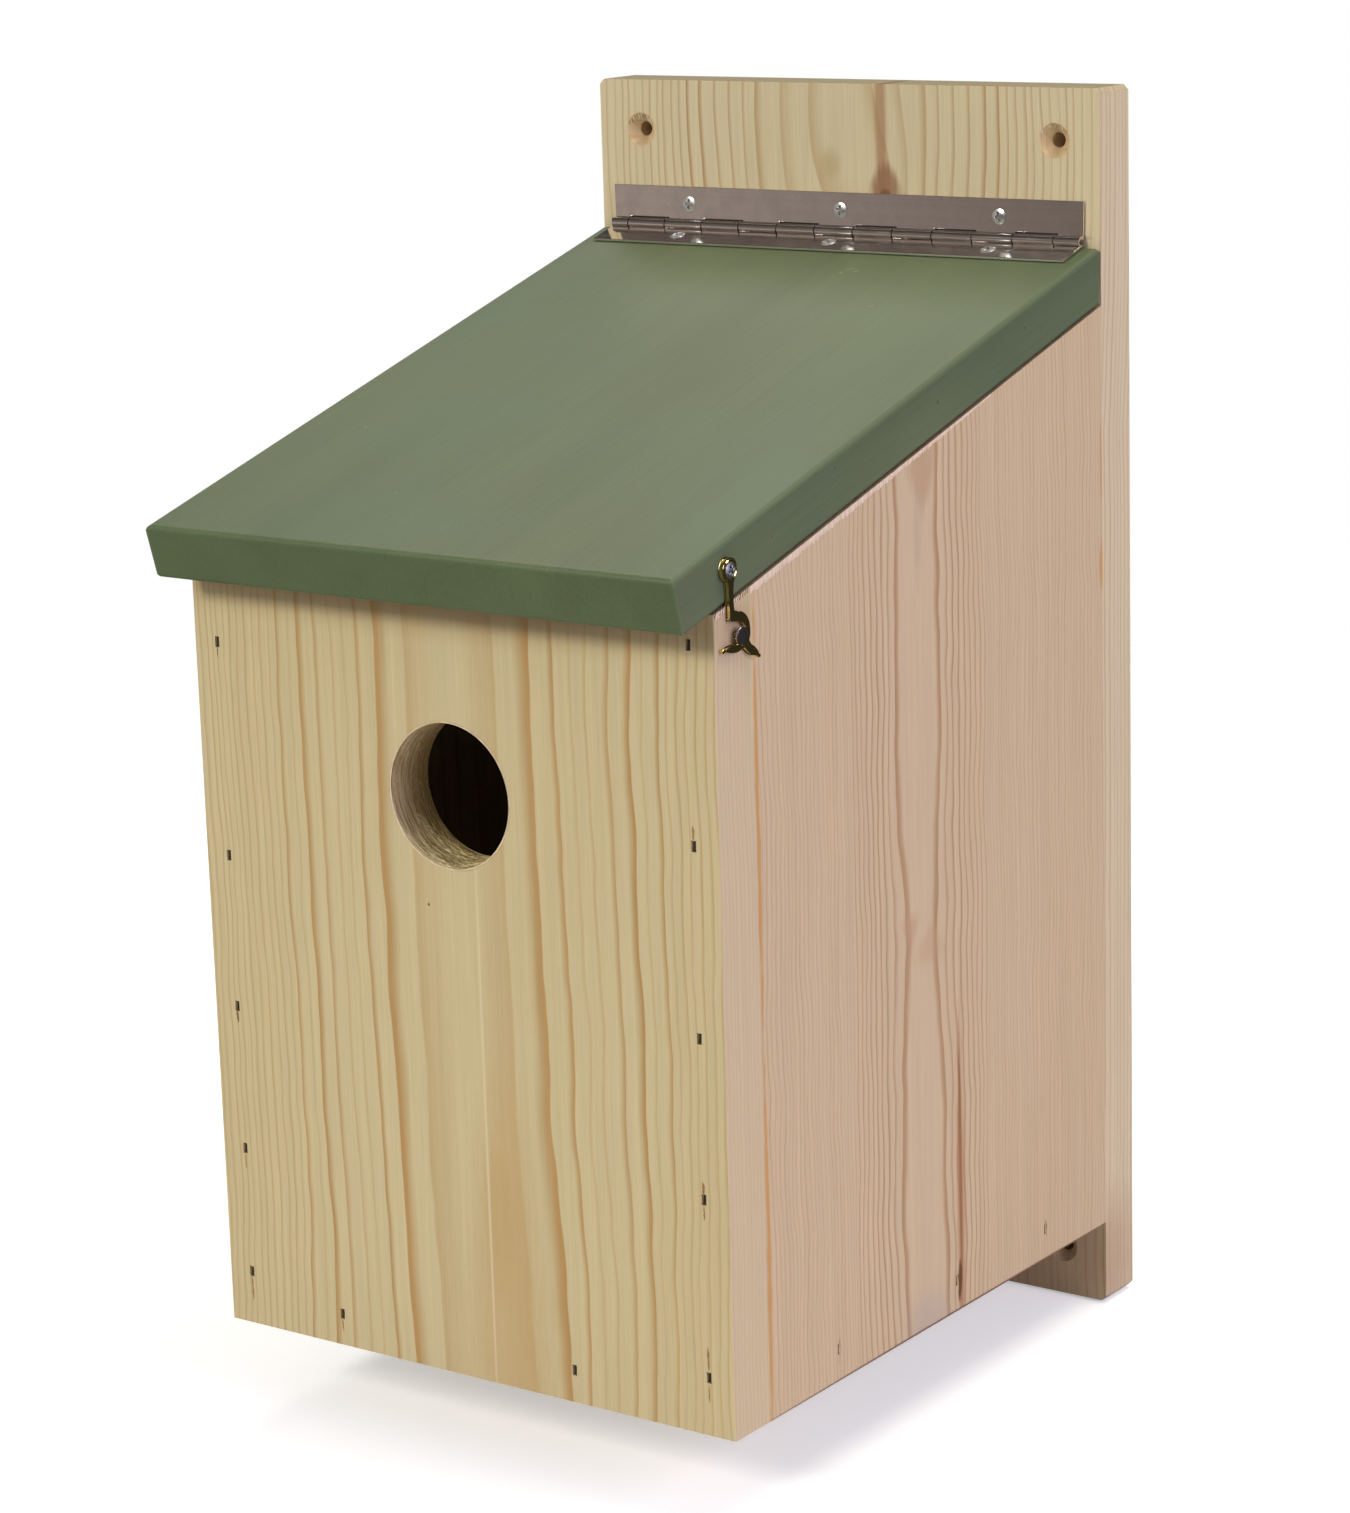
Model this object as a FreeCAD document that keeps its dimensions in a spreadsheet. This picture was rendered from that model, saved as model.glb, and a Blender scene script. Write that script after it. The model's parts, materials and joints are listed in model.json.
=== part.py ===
"""Wall-hung birdhouse with a hinged lid roof and a swinging hook latch.

Frame: +X to the right seen from the front, +Y to the wall behind, +Z up.  The origin is the
middle of the back board's rear face, which lies on the wall.  Heights in the sheet are
measured from the back board's lower end.  Millimetres throughout.
"""

import FreeCAD, Part

import math
import os

import Sketcher

Vector = FreeCAD.Vector

SIZES = {
    # boards
    "board_width": 140.0,
    "board_thick": 13.0,
    "back_height": 290.0,
    "back_corner": 1.2,
    "box_depth": 144.0,
    "box_lift": 20.0,
    "board_arris": 0.4,
    # roof
    "roof_slope": 15.6,
    "roof_thick": 12.5,
    "roof_height": 241.0,
    "roof_length": 173.0,
    "roof_clear": 1.0,
    "roof_arris": 1.2,
    "rest_clear": 0.3,
    # openings
    "entrance_size": 32.0,
    "entrance_height": 151.5,
    "entrance_edge": 0.5,
    "drain_size": 6.0,
    "drain_inset": 20.0,
    # holes for the wall screws
    "wall_hole": 3.5,
    "wall_hole_sink": 8.0,
    "wall_hole_across": 58.0,
    "wall_hole_end": 12.0,
    # piano hinge
    "barrel_size": 2.6,
    "barrel_clear": 0.2,
    "sheet_thick": 0.6,
    "leaf_width": 9.2,
    "leaf_length": 132.0,
    "pin_size": 1.3,
    "pin_play": 0.05,
    "knuckle_first": 5.1,
    "knuckle_pitch": 10.9,
    "knuckle_gap": 0.2,
    "notch_reach": 1.8,
    # small countersunk screws of the hinge
    "screw_row": 5.0,
    "screw_spread": 43.7,
    "screw_head": 3.6,
    "screw_dome": 0.5,
    "screw_shank": 1.8,
    "screw_length": 10.0,
    # latch
    "pivot_depth": 165.6,
    "pivot_height": 205.7,
    "hook_stand_off": 0.1,
    "hook_thick": 1.1,
    "hook_eye": 5.9,
    "hook_collar": 4.5,
    "collar_rise": 0.3,
    "hook_bore": 2.5,
    "hook_arris": 0.3,
    "pivot_shank": 2.4,
    "pivot_head": 3.6,
    "pivot_head_thick": 0.6,
    "pivot_length": 16.0,
    "peg_shank": 1.6,
    "peg_head": 4.0,
    "peg_head_thick": 0.7,
    "peg_reach": 2.05,
    "peg_length": 7.0,
    "peg_back": 3.0,
    "peg_drop": 13.9,
    # cross recesses of the screws
    "recess_width": 0.5,
    "recess_depth": 0.7,
    # brads
    "brad_head_long": 2.4,
    "brad_head_wide": 1.2,
    "brad_head_thick": 0.8,
    "brad_wide": 1.0,
    "brad_length": 28.0,
    "brad_sink": 0.6,
}

# Heights of the brads above the back board's lower end, and their places across a board.
FRONT_LEFT_HEIGHTS = (179.0, 130.5, 95.5, 62.0, 32.5)
FRONT_RIGHT_HEIGHTS = (190.5, 148.5, 107.5, 72.5, 33.0)
FRONT_BOTTOM_ACROSS = (-37.0, 28.0)
SIDE_BOTTOM_DEPTHS = (130.0, 81.0, 41.5)
BACK_HEIGHTS = (58.0, 112.0, 166.0, 220.0)
BACK_BOTTOM_ACROSS = (-32.0, 32.0)
FLOOR_BRAD_RISE = 7.4
KNUCKLES = 13

doc = FreeCAD.newDocument("Birdhouse")


class Size:
    """A length that carries its number and the formula that it comes from."""

    def __init__(self, value, formula):
        self.value = value
        self.formula = formula

    def __add__(self, other):
        other = as_size(other)
        return Size(self.value + other.value, f"({self.formula} + {other.formula})")

    def __sub__(self, other):
        other = as_size(other)
        return Size(self.value - other.value, f"({self.formula} - {other.formula})")

    def __mul__(self, other):
        other = as_size(other)
        return Size(self.value * other.value, f"({self.formula} * {other.formula})")

    def __truediv__(self, other):
        other = as_size(other)
        return Size(self.value / other.value, f"({self.formula} / {other.formula})")

    def __neg__(self):
        return Size(-self.value, f"(-1 * {self.formula})")


def as_size(thing):
    """Take a plain number as a Size too."""
    if isinstance(thing, Size):
        return thing
    return Size(float(thing), repr(float(thing)))


def size(name):
    """The driving dimension of this name."""
    return Size(SIZES[name], f"Sizes.{name}")


def sine(angle):
    return Size(math.sin(math.radians(angle.value)), f"sin({angle.formula})")


def cosine(angle):
    return Size(math.cos(math.radians(angle.value)), f"cos({angle.formula})")


def tangent(angle):
    return Size(math.tan(math.radians(angle.value)), f"tan({angle.formula})")


def fill_sheet():
    """Write every driving dimension into the sheet, one row each."""
    sheet = doc.addObject("Spreadsheet::Sheet", "Sizes")
    for row, (name, value) in enumerate(SIZES.items(), start=1):
        sheet.set(f"A{row}", name)
        sheet.set(f"B{row}", str(value))
        sheet.setAlias(f"B{row}", name)
    doc.recompute()


fill_sheet()

# Lengths that several pieces share.
HALF_WIDTH = size("board_width") / 2
BOARD = size("board_thick")
MIDDLE = size("back_height") / 2
SLOPE = size("roof_slope")
FRONT_BACK = -(BOARD + size("box_depth"))
FRONT_FACE = FRONT_BACK - BOARD
ROOF_REAR = -(BOARD + size("roof_clear"))
LEAF_OFFSET = size("barrel_size") / 2 + size("barrel_clear")
HINGE_Y = -(BOARD + LEAF_OFFSET)
ROOF_TOP_REAR = size("roof_height") + size("roof_thick") / cosine(SLOPE)
HINGE_Z = ROOF_TOP_REAR + (HINGE_Y - ROOF_REAR) * tangent(SLOPE) + LEAF_OFFSET / cosine(SLOPE)


def underside(depth):
    """Height of the roof's underside at a place along Y."""
    return size("roof_height") + (depth - ROOF_REAR) * tangent(SLOPE)


def wall_top(depth):
    """Height of a wall's sloped top, which stays just clear of the roof."""
    return underside(depth) - size("rest_clear") / cosine(SLOPE)


# ---------------------------------------------------------------- small helpers


def bind(item, prop, length):
    """Set a property from a Size and tie it to the sheet."""
    length = as_size(length)
    setattr(item, prop, length.value)
    item.setExpression(prop, length.formula)


def new_body(name, x=0, y=0, z=None):
    """A body whose sketches measure heights from the back board's lower end."""
    body = doc.addObject("PartDesign::Body", name)
    rise = -MIDDLE if z is None else as_size(z)
    for letter, length in zip("xyz", (as_size(x), as_size(y), rise)):
        body.setExpression(f"Placement.Base.{letter}", length.formula)
    return body


def new_sketch(body, plane, name, offset=0):
    """A sketch on one of the body's own planes, moved along the plane's normal."""
    sketch = body.newObject("Sketcher::SketchObject", name)
    for feature in body.Origin.OriginFeatures:
        if feature.Role == plane:
            sketch.AttachmentSupport = [(feature, "")]
    sketch.MapMode = "FlatFace"
    sketch.setExpression("AttachmentOffset.Base.z", as_size(offset).formula)
    return sketch


def hold(sketch, curve, end, place):
    """Tie one point of a curve to its place by its two distances from the origin."""
    for kind, length in zip(("DistanceX", "DistanceY"), place):
        length = as_size(length)
        if abs(length.value) < 1e-9:
            axis = -2 if kind == "DistanceX" else -1
            sketch.addConstraint(Sketcher.Constraint("PointOnObject", curve, end, axis))
        else:
            rule = Sketcher.Constraint(kind, -1, 1, curve, end, length.value)
            index = sketch.addConstraint(rule)
            sketch.setExpression(f"Constraints[{index}]", length.formula)


def flat(place):
    """A sketch point as a vector."""
    return Vector(as_size(place[0]).value, as_size(place[1]).value, 0)


def draw_polygon(sketch, corners):
    """A closed outline of straight lines with every corner held."""
    first = sketch.GeometryCount
    count = len(corners)
    for index, corner in enumerate(corners):
        following = corners[(index + 1) % count]
        sketch.addGeometry(Part.LineSegment(flat(corner), flat(following)), False)
    for index in range(count):
        following = first + (index + 1) % count
        sketch.addConstraint(Sketcher.Constraint("Coincident", first + index, 2, following, 1))
    for index, corner in enumerate(corners):
        hold(sketch, first + index, 1, corner)


def draw_circle(sketch, centre, diameter):
    """A circle with its centre held and its diameter tied to the sheet."""
    diameter = as_size(diameter)
    curve = Part.Circle(flat(centre), Vector(0, 0, 1), diameter.value / 2)
    index = sketch.addGeometry(curve, False)
    hold(sketch, index, 3, centre)
    rule = sketch.addConstraint(Sketcher.Constraint("Diameter", index, diameter.value))
    sketch.setExpression(f"Constraints[{rule}]", diameter.formula)


def pad(body, sketch, length, both_ways=False):
    """Grow a sketch into a solid along its normal, or half each way."""
    feature = body.newObject("PartDesign::Pad", "Pad")
    feature.Profile = sketch
    bind(feature, "Length", length)
    if both_ways:
        feature.SideType = "Symmetric"
    sketch.Visibility = False
    doc.recompute()
    return feature


def pocket_through(body, sketch):
    """Cut a sketch right through the body, both ways from its plane."""
    before = body.Shape.Volume
    feature = body.newObject("PartDesign::Pocket", "Pocket")
    feature.Profile = sketch
    feature.Type = "ThroughAll"
    feature.SideType = "Symmetric"
    doc.recompute()
    if body.Shape.Volume >= before:
        raise RuntimeError(f"{body.Name}: the pocket cuts nothing")
    return feature


def round_edges(body, radius, wanted, kind="PartDesign::Fillet"):
    """Round or chamfer the edges of the body's last feature that pass a test."""
    base = body.Tip
    chosen = []
    for index, edge in enumerate(base.Shape.Edges, start=1):
        if wanted(edge):
            chosen.append(f"Edge{index}")
    feature = body.newObject(kind, kind.split("::")[1])
    feature.Base = (base, chosen)
    bind(feature, "Radius" if kind.endswith("Fillet") else "Size", radius)
    doc.recompute()
    return feature


def is_straight(edge):
    return isinstance(edge.Curve, Part.Line)


def along(edge, axis):
    """Whether a straight edge runs along a unit vector."""
    return is_straight(edge) and abs(edge.tangentAt(edge.FirstParameter).dot(axis)) > 0.999


def placed(origin, x_axis=Vector(1, 0, 0), z_axis=Vector(0, 0, 1)):
    """A placement with its origin, local x and local z given in the row frame."""
    turn = FreeCAD.Rotation(x_axis, z_axis.cross(x_axis), z_axis, "ZXY")
    return FreeCAD.Placement(origin, turn)


def primitive(kind, name, frame, shift=Vector(), **sizes):
    """A Part primitive placed in a local frame, with its sizes tied to the sheet."""
    item = doc.addObject(kind, name)
    for prop, length in sizes.items():
        bind(item, prop, length)
    item.Placement = frame.multiply(FreeCAD.Placement(shift, FreeCAD.Rotation()))
    return item


def centred_box(name, frame, across, along_y, deep, base=0.0):
    """A box centred on the local z axis, from a base height upwards."""
    across, along_y, deep = as_size(across), as_size(along_y), as_size(deep)
    corner = Vector(-across.value / 2, -along_y.value / 2, base)
    return primitive("Part::Box", name, frame, corner, Length=across, Width=along_y, Height=deep)


def fuse(name, items):
    joined = doc.addObject("Part::MultiFuse", name)
    joined.Shapes = items
    joined.Refine = True
    return joined


def group(name, items):
    together = doc.addObject("Part::Compound", name)
    together.Links = items
    return together


def cut(name, base, tools):
    """The base less one tool or a list of tools."""
    if isinstance(tools, list):
        tools = group(f"{name}_tools", tools)
    rest = doc.addObject("Part::Cut", name)
    rest.Base = base
    rest.Tool = tools
    return rest


parts = {}


def hand_in(name, item):
    """Label a finished sub-part and remember it for the parts folder."""
    item.Label = name
    parts[name] = item
    return item


def row_point(x, y, height):
    """A point in the row frame from a height above the back board's lower end."""
    return Vector(x, y, height - MIDDLE.value)


# ---------------------------------------------------------------- brads


def brad(name, point, inwards, head_along):
    """One brad driven inwards from a point on the wood, and the hole that it leaves."""
    frame = placed(point, head_along.cross(inwards), inwards)
    sink = size("brad_sink").value
    head = centred_box(f"{name}_head", frame, size("brad_head_wide"), size("brad_head_long"),
                       size("brad_head_thick"), sink)
    shank = centred_box(f"{name}_shank", frame, size("brad_head_wide"), size("brad_wide"),
                        size("brad_length"), sink)
    mark = centred_box(f"{name}_mark", frame, size("brad_head_wide"), size("brad_head_long"),
                       size("brad_sink") * 2, -sink)
    return fuse(name, [head, shank]), fuse(f"{name}_hole", [head, shank, mark])


def brad_group(label, points, inwards):
    """A row of equal brads as one sub-part, with the tool for their holes."""
    solids = []
    holes = []
    for number, point in enumerate(points, start=1):
        solid, hole = brad(f"{label}_{number}", point, inwards, Vector(0, 0, 1))
        solids.append(solid)
        holes.append(hole)
    hand_in(label, group(label, solids))
    return holes


def all_brads():
    """Every brad in the box, and the holes by group."""
    side_x = HALF_WIDTH.value - BOARD.value / 2
    half = HALF_WIDTH.value
    front = FRONT_FACE.value
    rise = size("box_lift").value + FLOOR_BRAD_RISE
    to_back = Vector(0, 1, 0)
    to_front = Vector(0, -1, 0)
    holes = {}
    holes["front_left"] = brad_group(
        "front_nails_left", [row_point(-side_x, front, up) for up in FRONT_LEFT_HEIGHTS], to_back)
    holes["front_right"] = brad_group(
        "front_nails_right", [row_point(side_x, front, up) for up in FRONT_RIGHT_HEIGHTS], to_back)
    holes["front_bottom"] = brad_group(
        "front_nails_bottom", [row_point(x, front, rise) for x in FRONT_BOTTOM_ACROSS], to_back)
    holes["left_bottom"] = brad_group(
        "side_nails_left", [row_point(-half, -y, rise) for y in SIDE_BOTTOM_DEPTHS], Vector(1, 0, 0))
    holes["right_bottom"] = brad_group(
        "side_nails_right", [row_point(half, -y, rise) for y in SIDE_BOTTOM_DEPTHS], Vector(-1, 0, 0))
    holes["back_left"] = brad_group(
        "back_nails_left", [row_point(-side_x, 0, up) for up in BACK_HEIGHTS], to_front)
    holes["back_right"] = brad_group(
        "back_nails_right", [row_point(side_x, 0, up) for up in BACK_HEIGHTS], to_front)
    holes["back_bottom"] = brad_group(
        "back_nails_bottom", [row_point(x, 0, rise) for x in BACK_BOTTOM_ACROSS], to_front)
    return holes


# ---------------------------------------------------------------- screws and the peg


def cross_recess(name, frame, span, top):
    """The two crossing slots of a screw's drive."""
    depth = size("recess_depth")
    base = top - depth.value
    first = centred_box(f"{name}_slot_a", frame, span, size("recess_width"), depth * 2, base)
    second = centred_box(f"{name}_slot_b", frame, size("recess_width"), span, depth * 2, base)
    return [first, second]


def hinge_screw(name, point, outwards):
    """A countersunk screw with a low dome, head flush on the leaf at the point."""
    frame = placed(point, Vector(1, 0, 0), outwards)
    head = size("screw_head")
    shank = size("screw_shank")
    sink = (head - shank) / 2
    cone = primitive("Part::Cone", f"{name}_cone", frame, Vector(0, 0, -sink.value),
                     Radius1=shank / 2, Radius2=head / 2, Height=sink)
    dome = primitive("Part::Cone", f"{name}_dome", frame,
                     Radius1=head / 2, Radius2=head / 2 - size("screw_dome") * 1.5,
                     Height=size("screw_dome"))
    body = primitive("Part::Cylinder", f"{name}_shank", frame,
                     Vector(0, 0, -size("screw_length").value),
                     Radius=shank / 2, Height=size("screw_length"))
    blank = fuse(f"{name}_blank", [cone, dome, body])
    slots = cross_recess(name, frame, head * 0.6, size("screw_dome").value)
    return blank, cut(name, blank, slots)


def latch_screw():
    """The round-headed screw that the hook turns on, driven into the roof's edge."""
    frame = placed(row_point(HALF_WIDTH.value, -size("pivot_depth").value,
                             size("pivot_height").value), Vector(0, 1, 0), Vector(1, 0, 0))
    under_head = size("hook_stand_off") + size("hook_thick") + size("collar_rise")
    seat = under_head.value + 0.05
    head = primitive("Part::Cylinder", "latch_screw_head", frame, Vector(0, 0, seat),
                     Radius=size("pivot_head") / 2, Height=size("pivot_head_thick"))
    shank = primitive("Part::Cylinder", "latch_screw_shank", frame,
                      Vector(0, 0, seat - size("pivot_length").value),
                      Radius=size("pivot_shank") / 2, Height=size("pivot_length"))
    blank = fuse("latch_screw_blank", [head, shank])
    slots = cross_recess("latch_screw", frame, size("pivot_head") * 0.6,
                         seat + size("pivot_head_thick").value)
    hand_in("latch_screw", cut("latch_screw_body", blank, slots))
    return blank


def latch_peg():
    """The headed peg in the front panel's edge that the hook closes on."""
    point = row_point(HALF_WIDTH.value, size("peg_back").value - size("pivot_depth").value,
                      size("pivot_height").value - size("peg_drop").value)
    frame = placed(point, Vector(0, 1, 0), Vector(1, 0, 0))
    neck = size("peg_reach") - size("peg_head_thick")
    shank = primitive("Part::Cylinder", "latch_peg_shank", frame,
                      Vector(0, 0, neck.value - size("peg_length").value),
                      Radius=size("peg_shank") / 2, Height=size("peg_length"))
    head = primitive("Part::Cylinder", "latch_peg_head", frame, Vector(0, 0, neck.value),
                     Radius=size("peg_head") / 2, Height=size("peg_head_thick"))
    return hand_in("latch_peg", fuse("latch_peg_body", [shank, head]))


# ---------------------------------------------------------------- piano hinge


def knuckle_edges():
    """Where one knuckle ends and the next begins, from the hinge's left end."""
    start = -size("leaf_length").value / 2
    edges = [start]
    for number in range(KNUCKLES - 1):
        edges.append(start + size("knuckle_first").value + number * size("knuckle_pitch").value)
    edges.append(-start)
    return edges


def hinge_leaf(name, frame, owned, mirrored, screws):
    """A leaf of sheet rolled into knuckles, cut away where the other leaf's knuckles turn."""
    barrel = size("barrel_size") / 2
    length = size("leaf_length")
    gap = size("knuckle_gap").value / 2
    plate = primitive("Part::Box", f"{name}_plate", frame,
                      Vector(-length.value / 2, 0, -LEAF_OFFSET.value),
                      Length=length, Width=size("leaf_width"), Height=size("sheet_thick"))
    rolls = [plate]
    notches = []
    edges = knuckle_edges()
    last = len(edges) - 2
    for number, (low, high) in enumerate(zip(edges, edges[1:])):
        keep = number % 2 == owned
        low_gap = 0.0 if number == 0 else (gap if keep else -gap)
        high_gap = 0.0 if number == last else (gap if keep else -gap)
        low, high = low + low_gap, high - high_gap
        if mirrored:
            low, high = -high, -low
        if keep:
            roll = primitive("Part::Cylinder", f"{name}_knuckle_{number}", frame,
                             Radius=barrel, Height=high - low)
            turned = FreeCAD.Placement(Vector(low, 0, 0), FreeCAD.Rotation(Vector(0, 1, 0), 90))
            roll.Placement = frame.multiply(turned)
            rolls.append(roll)
        else:
            reach = size("notch_reach")
            notches.append(primitive("Part::Box", f"{name}_notch_{number}", frame,
                                     Vector(low, -reach.value, -2 * barrel.value),
                                     Length=high - low, Width=reach * 2,
                                     Height=barrel * 4))
    bore = primitive("Part::Cylinder", f"{name}_bore", frame,
                     Radius=size("pin_size") / 2 + size("pin_play"), Height=length * 2)
    turned = FreeCAD.Placement(Vector(-length.value, 0, 0), FreeCAD.Rotation(Vector(0, 1, 0), 90))
    bore.Placement = frame.multiply(turned)
    whole = fuse(f"{name}_rolled", rolls)
    return hand_in(name, cut(f"{name}_body", whole, notches + [bore] + screws))


def screw_row(label, frame, outwards):
    """Three equal screws along a leaf: the sub-part, and blanks to cut their holes."""
    height = size("sheet_thick").value - LEAF_OFFSET.value
    blanks = []
    screws = []
    for number, side in enumerate((-1, 0, 1), start=1):
        local = Vector(side * size("screw_spread").value, size("screw_row").value, height)
        blank, screw = hinge_screw(f"{label}_{number}", frame.multVec(local), outwards)
        blanks.append(blank)
        screws.append(screw)
    hand_in(label, group(label, screws))
    return blanks


def hinge():
    """Both leaves, the pin and the two rows of screws."""
    axis_point = row_point(0, HINGE_Y.value, HINGE_Z.value)
    out_of_wall = Vector(0, -1, 0)
    slope = math.radians(SLOPE.value)
    out_of_roof = Vector(0, -math.sin(slope), math.cos(slope))
    back_frame = placed(axis_point, Vector(1, 0, 0), out_of_wall)
    roof_frame = placed(axis_point, Vector(-1, 0, 0), out_of_roof)
    back_blanks = screw_row("hinge_back_screws", back_frame, out_of_wall)
    roof_blanks = screw_row("hinge_roof_screws", roof_frame, out_of_roof)
    hinge_leaf("hinge_back_leaf", back_frame, 0, False, back_blanks)
    hinge_leaf("hinge_roof_leaf", roof_frame, 1, True, roof_blanks)
    pin = doc.addObject("Part::Cylinder", "hinge_pin_body")
    bind(pin, "Radius", size("pin_size") / 2)
    bind(pin, "Height", size("leaf_length"))
    start = axis_point - Vector(size("leaf_length").value / 2, 0, 0)
    pin.Placement = FreeCAD.Placement(start, FreeCAD.Rotation(Vector(0, 1, 0), 90))
    hand_in("hinge_pin", pin)
    return back_blanks, roof_blanks


# ---------------------------------------------------------------- boards


def back_board(holes):
    """The wall board, with four countersunk holes for its wall screws."""
    body = new_body("back_board_body")
    sketch = new_sketch(body, "XZ_Plane", "back_outline")
    tall = size("back_height")
    draw_polygon(sketch, [(-HALF_WIDTH, 0), (HALF_WIDTH, 0), (HALF_WIDTH, tall), (-HALF_WIDTH, tall)])
    pad(body, sketch, BOARD)
    round_edges(body, size("back_corner"), lambda edge: along(edge, Vector(0, 1, 0)),
                "PartDesign::Chamfer")
    marks = new_sketch(body, "XZ_Plane", "wall_holes", BOARD)
    across = size("wall_hole_across")
    end = size("wall_hole_end")
    for x in (-across, across):
        for up in (end, tall - end):
            draw_circle(marks, (x, up), size("wall_hole"))
    doc.recompute()
    before = body.Shape.Volume
    hole = body.newObject("PartDesign::Hole", "Hole")
    hole.Profile = marks
    hole.DepthType = "ThroughAll"
    hole.HoleCutType = "Countersink"
    hole.HoleCutCustomValues = True
    hole.HoleCutCountersinkAngle = 90.0
    bind(hole, "Diameter", size("wall_hole"))
    bind(hole, "HoleCutDiameter", size("wall_hole_sink"))
    doc.recompute()
    if body.Shape.Volume >= before:
        raise RuntimeError("the wall holes cut nothing")
    hand_in("back_board", cut("back_board", body, holes))


def front_panel(holes):
    """The front board with the round entrance and a top planed to the roof's slope."""
    body = new_body("front_panel_body")
    sketch = new_sketch(body, "YZ_Plane", "front_profile")
    base = size("box_lift")
    draw_polygon(sketch, [(FRONT_FACE, base), (FRONT_BACK, base),
                          (FRONT_BACK, wall_top(FRONT_BACK)), (FRONT_FACE, wall_top(FRONT_FACE))])
    pad(body, sketch, size("board_width"), both_ways=True)
    edge_round = size("board_arris")
    front_y = FRONT_FACE.value
    round_edges(body, edge_round,
                lambda edge: along(edge, Vector(0, 0, 1)) and abs(edge.CenterOfMass.y - front_y) < 1)
    entrance = new_sketch(body, "XZ_Plane", "entrance")
    draw_circle(entrance, (0, size("entrance_height")), size("entrance_size"))
    pocket_through(body, entrance)
    rim = size("entrance_size").value / 2
    round_edges(body, size("entrance_edge"),
                lambda edge: isinstance(edge.Curve, Part.Circle) and abs(edge.Curve.Radius - rim) < 0.1)
    hand_in("front_panel", cut("front_panel", body, holes))


def side_panel(name, left_face, holes):
    """A side board whose top follows the roof's slope."""
    body = new_body(f"{name}_body", x=left_face)
    sketch = new_sketch(body, "YZ_Plane", f"{name}_profile")
    base = size("box_lift")
    draw_polygon(sketch, [(FRONT_BACK, base), (-BOARD, base),
                          (-BOARD, wall_top(-BOARD)), (FRONT_BACK, wall_top(FRONT_BACK))])
    pad(body, sketch, BOARD)
    hand_in(name, cut(name, body, holes))


def floor_panel(holes):
    """The floor between the four walls, with a drain hole near each corner."""
    body = new_body("floor_panel_body")
    sketch = new_sketch(body, "XY_Plane", "floor_outline", size("box_lift"))
    inner = HALF_WIDTH - BOARD
    draw_polygon(sketch, [(-inner, FRONT_BACK), (inner, FRONT_BACK), (inner, -BOARD), (-inner, -BOARD)])
    pad(body, sketch, BOARD)
    drains = new_sketch(body, "XY_Plane", "drains", size("box_lift"))
    inset = size("drain_inset")
    for x in (inset - inner, inner - inset):
        for y in (FRONT_BACK + inset, -BOARD - inset):
            draw_circle(drains, (x, y), size("drain_size"))
    pocket_through(body, drains)
    hand_in("floor_panel", cut("floor_panel", body, holes))


def roof_panel(holes):
    """The sloped lid: rear end upright behind the hinge, front end square to the board."""
    body = new_body("roof_panel_body")
    sketch = new_sketch(body, "YZ_Plane", "roof_profile")
    reach = size("roof_length") * cosine(SLOPE)
    drop = size("roof_length") * sine(SLOPE)
    low = (ROOF_REAR - reach, size("roof_height") - drop)
    high = (low[0] - size("roof_thick") * sine(SLOPE), low[1] + size("roof_thick") * cosine(SLOPE))
    draw_polygon(sketch, [(ROOF_REAR, size("roof_height")), low, high, (ROOF_REAR, ROOF_TOP_REAR)])
    pad(body, sketch, size("board_width"), both_ways=True)
    round_edges(body, size("roof_arris"), lambda edge: is_outer_roof_edge(edge, low, high))
    hand_in("roof_panel", cut("roof_panel", body, holes))


def is_outer_roof_edge(edge, low, high):
    """The roof's long front edges and its upper edges down the slope."""
    middle = edge.CenterOfMass
    if along(edge, Vector(1, 0, 0)):
        return middle.y < low[0].value + 1
    upper = (high[1].value + ROOF_TOP_REAR.value) / 2
    lower = (low[1].value + size("roof_height").value) / 2
    on_slope = abs(middle.z - upper) < 3 or abs(middle.z - lower) < 3
    return on_slope and not along(edge, Vector(0, 0, 1)) and middle.y > high[0].value + 10


# ---------------------------------------------------------------- latch hook


def hook_outline(sketch):
    """The hook's flat outline about its pivot: +x to the wall, +y up, closed on the peg."""
    shank_front = (-0.75, -2.5)
    shelf_corner = (-0.5, -10.9)
    shelf_end = (3.0, -11.4)
    mouth_back = (5.0, -13.45)
    toe_root = (3.0, -15.5)
    toe_top = (0.0, -15.25)
    toe_tip = (-2.8, -15.95)
    toe_under = (0.8, -17.1)
    fork = (4.4, -16.85)
    tail_under = (6.9, -18.45)
    tail_tip = (8.9, -18.7)
    tail_top = (7.9, -17.0)
    tail_root = (6.3, -15.75)
    lobe_back = (6.7, -11.6)
    lobe_top = (1.5, -8.4)
    shank_back = (1.5, -2.2)
    runs = [
        (shank_front, shelf_corner),
        (shelf_corner, shelf_end),
        (shelf_end, mouth_back, toe_root),
        (toe_root, toe_top, toe_tip),
        (toe_tip, toe_under, fork),
        (fork, tail_under, tail_tip),
        (tail_tip, tail_top, tail_root),
        (tail_root, lobe_back, lobe_top),
        (lobe_top, shank_back),
        (shank_back, shank_front),
    ]
    for run in runs:
        points = [flat(point) for point in run]
        if len(points) == 2:
            sketch.addGeometry(Part.LineSegment(*points), False)
        else:
            sketch.addGeometry(Part.Arc(*points), False)


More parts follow.
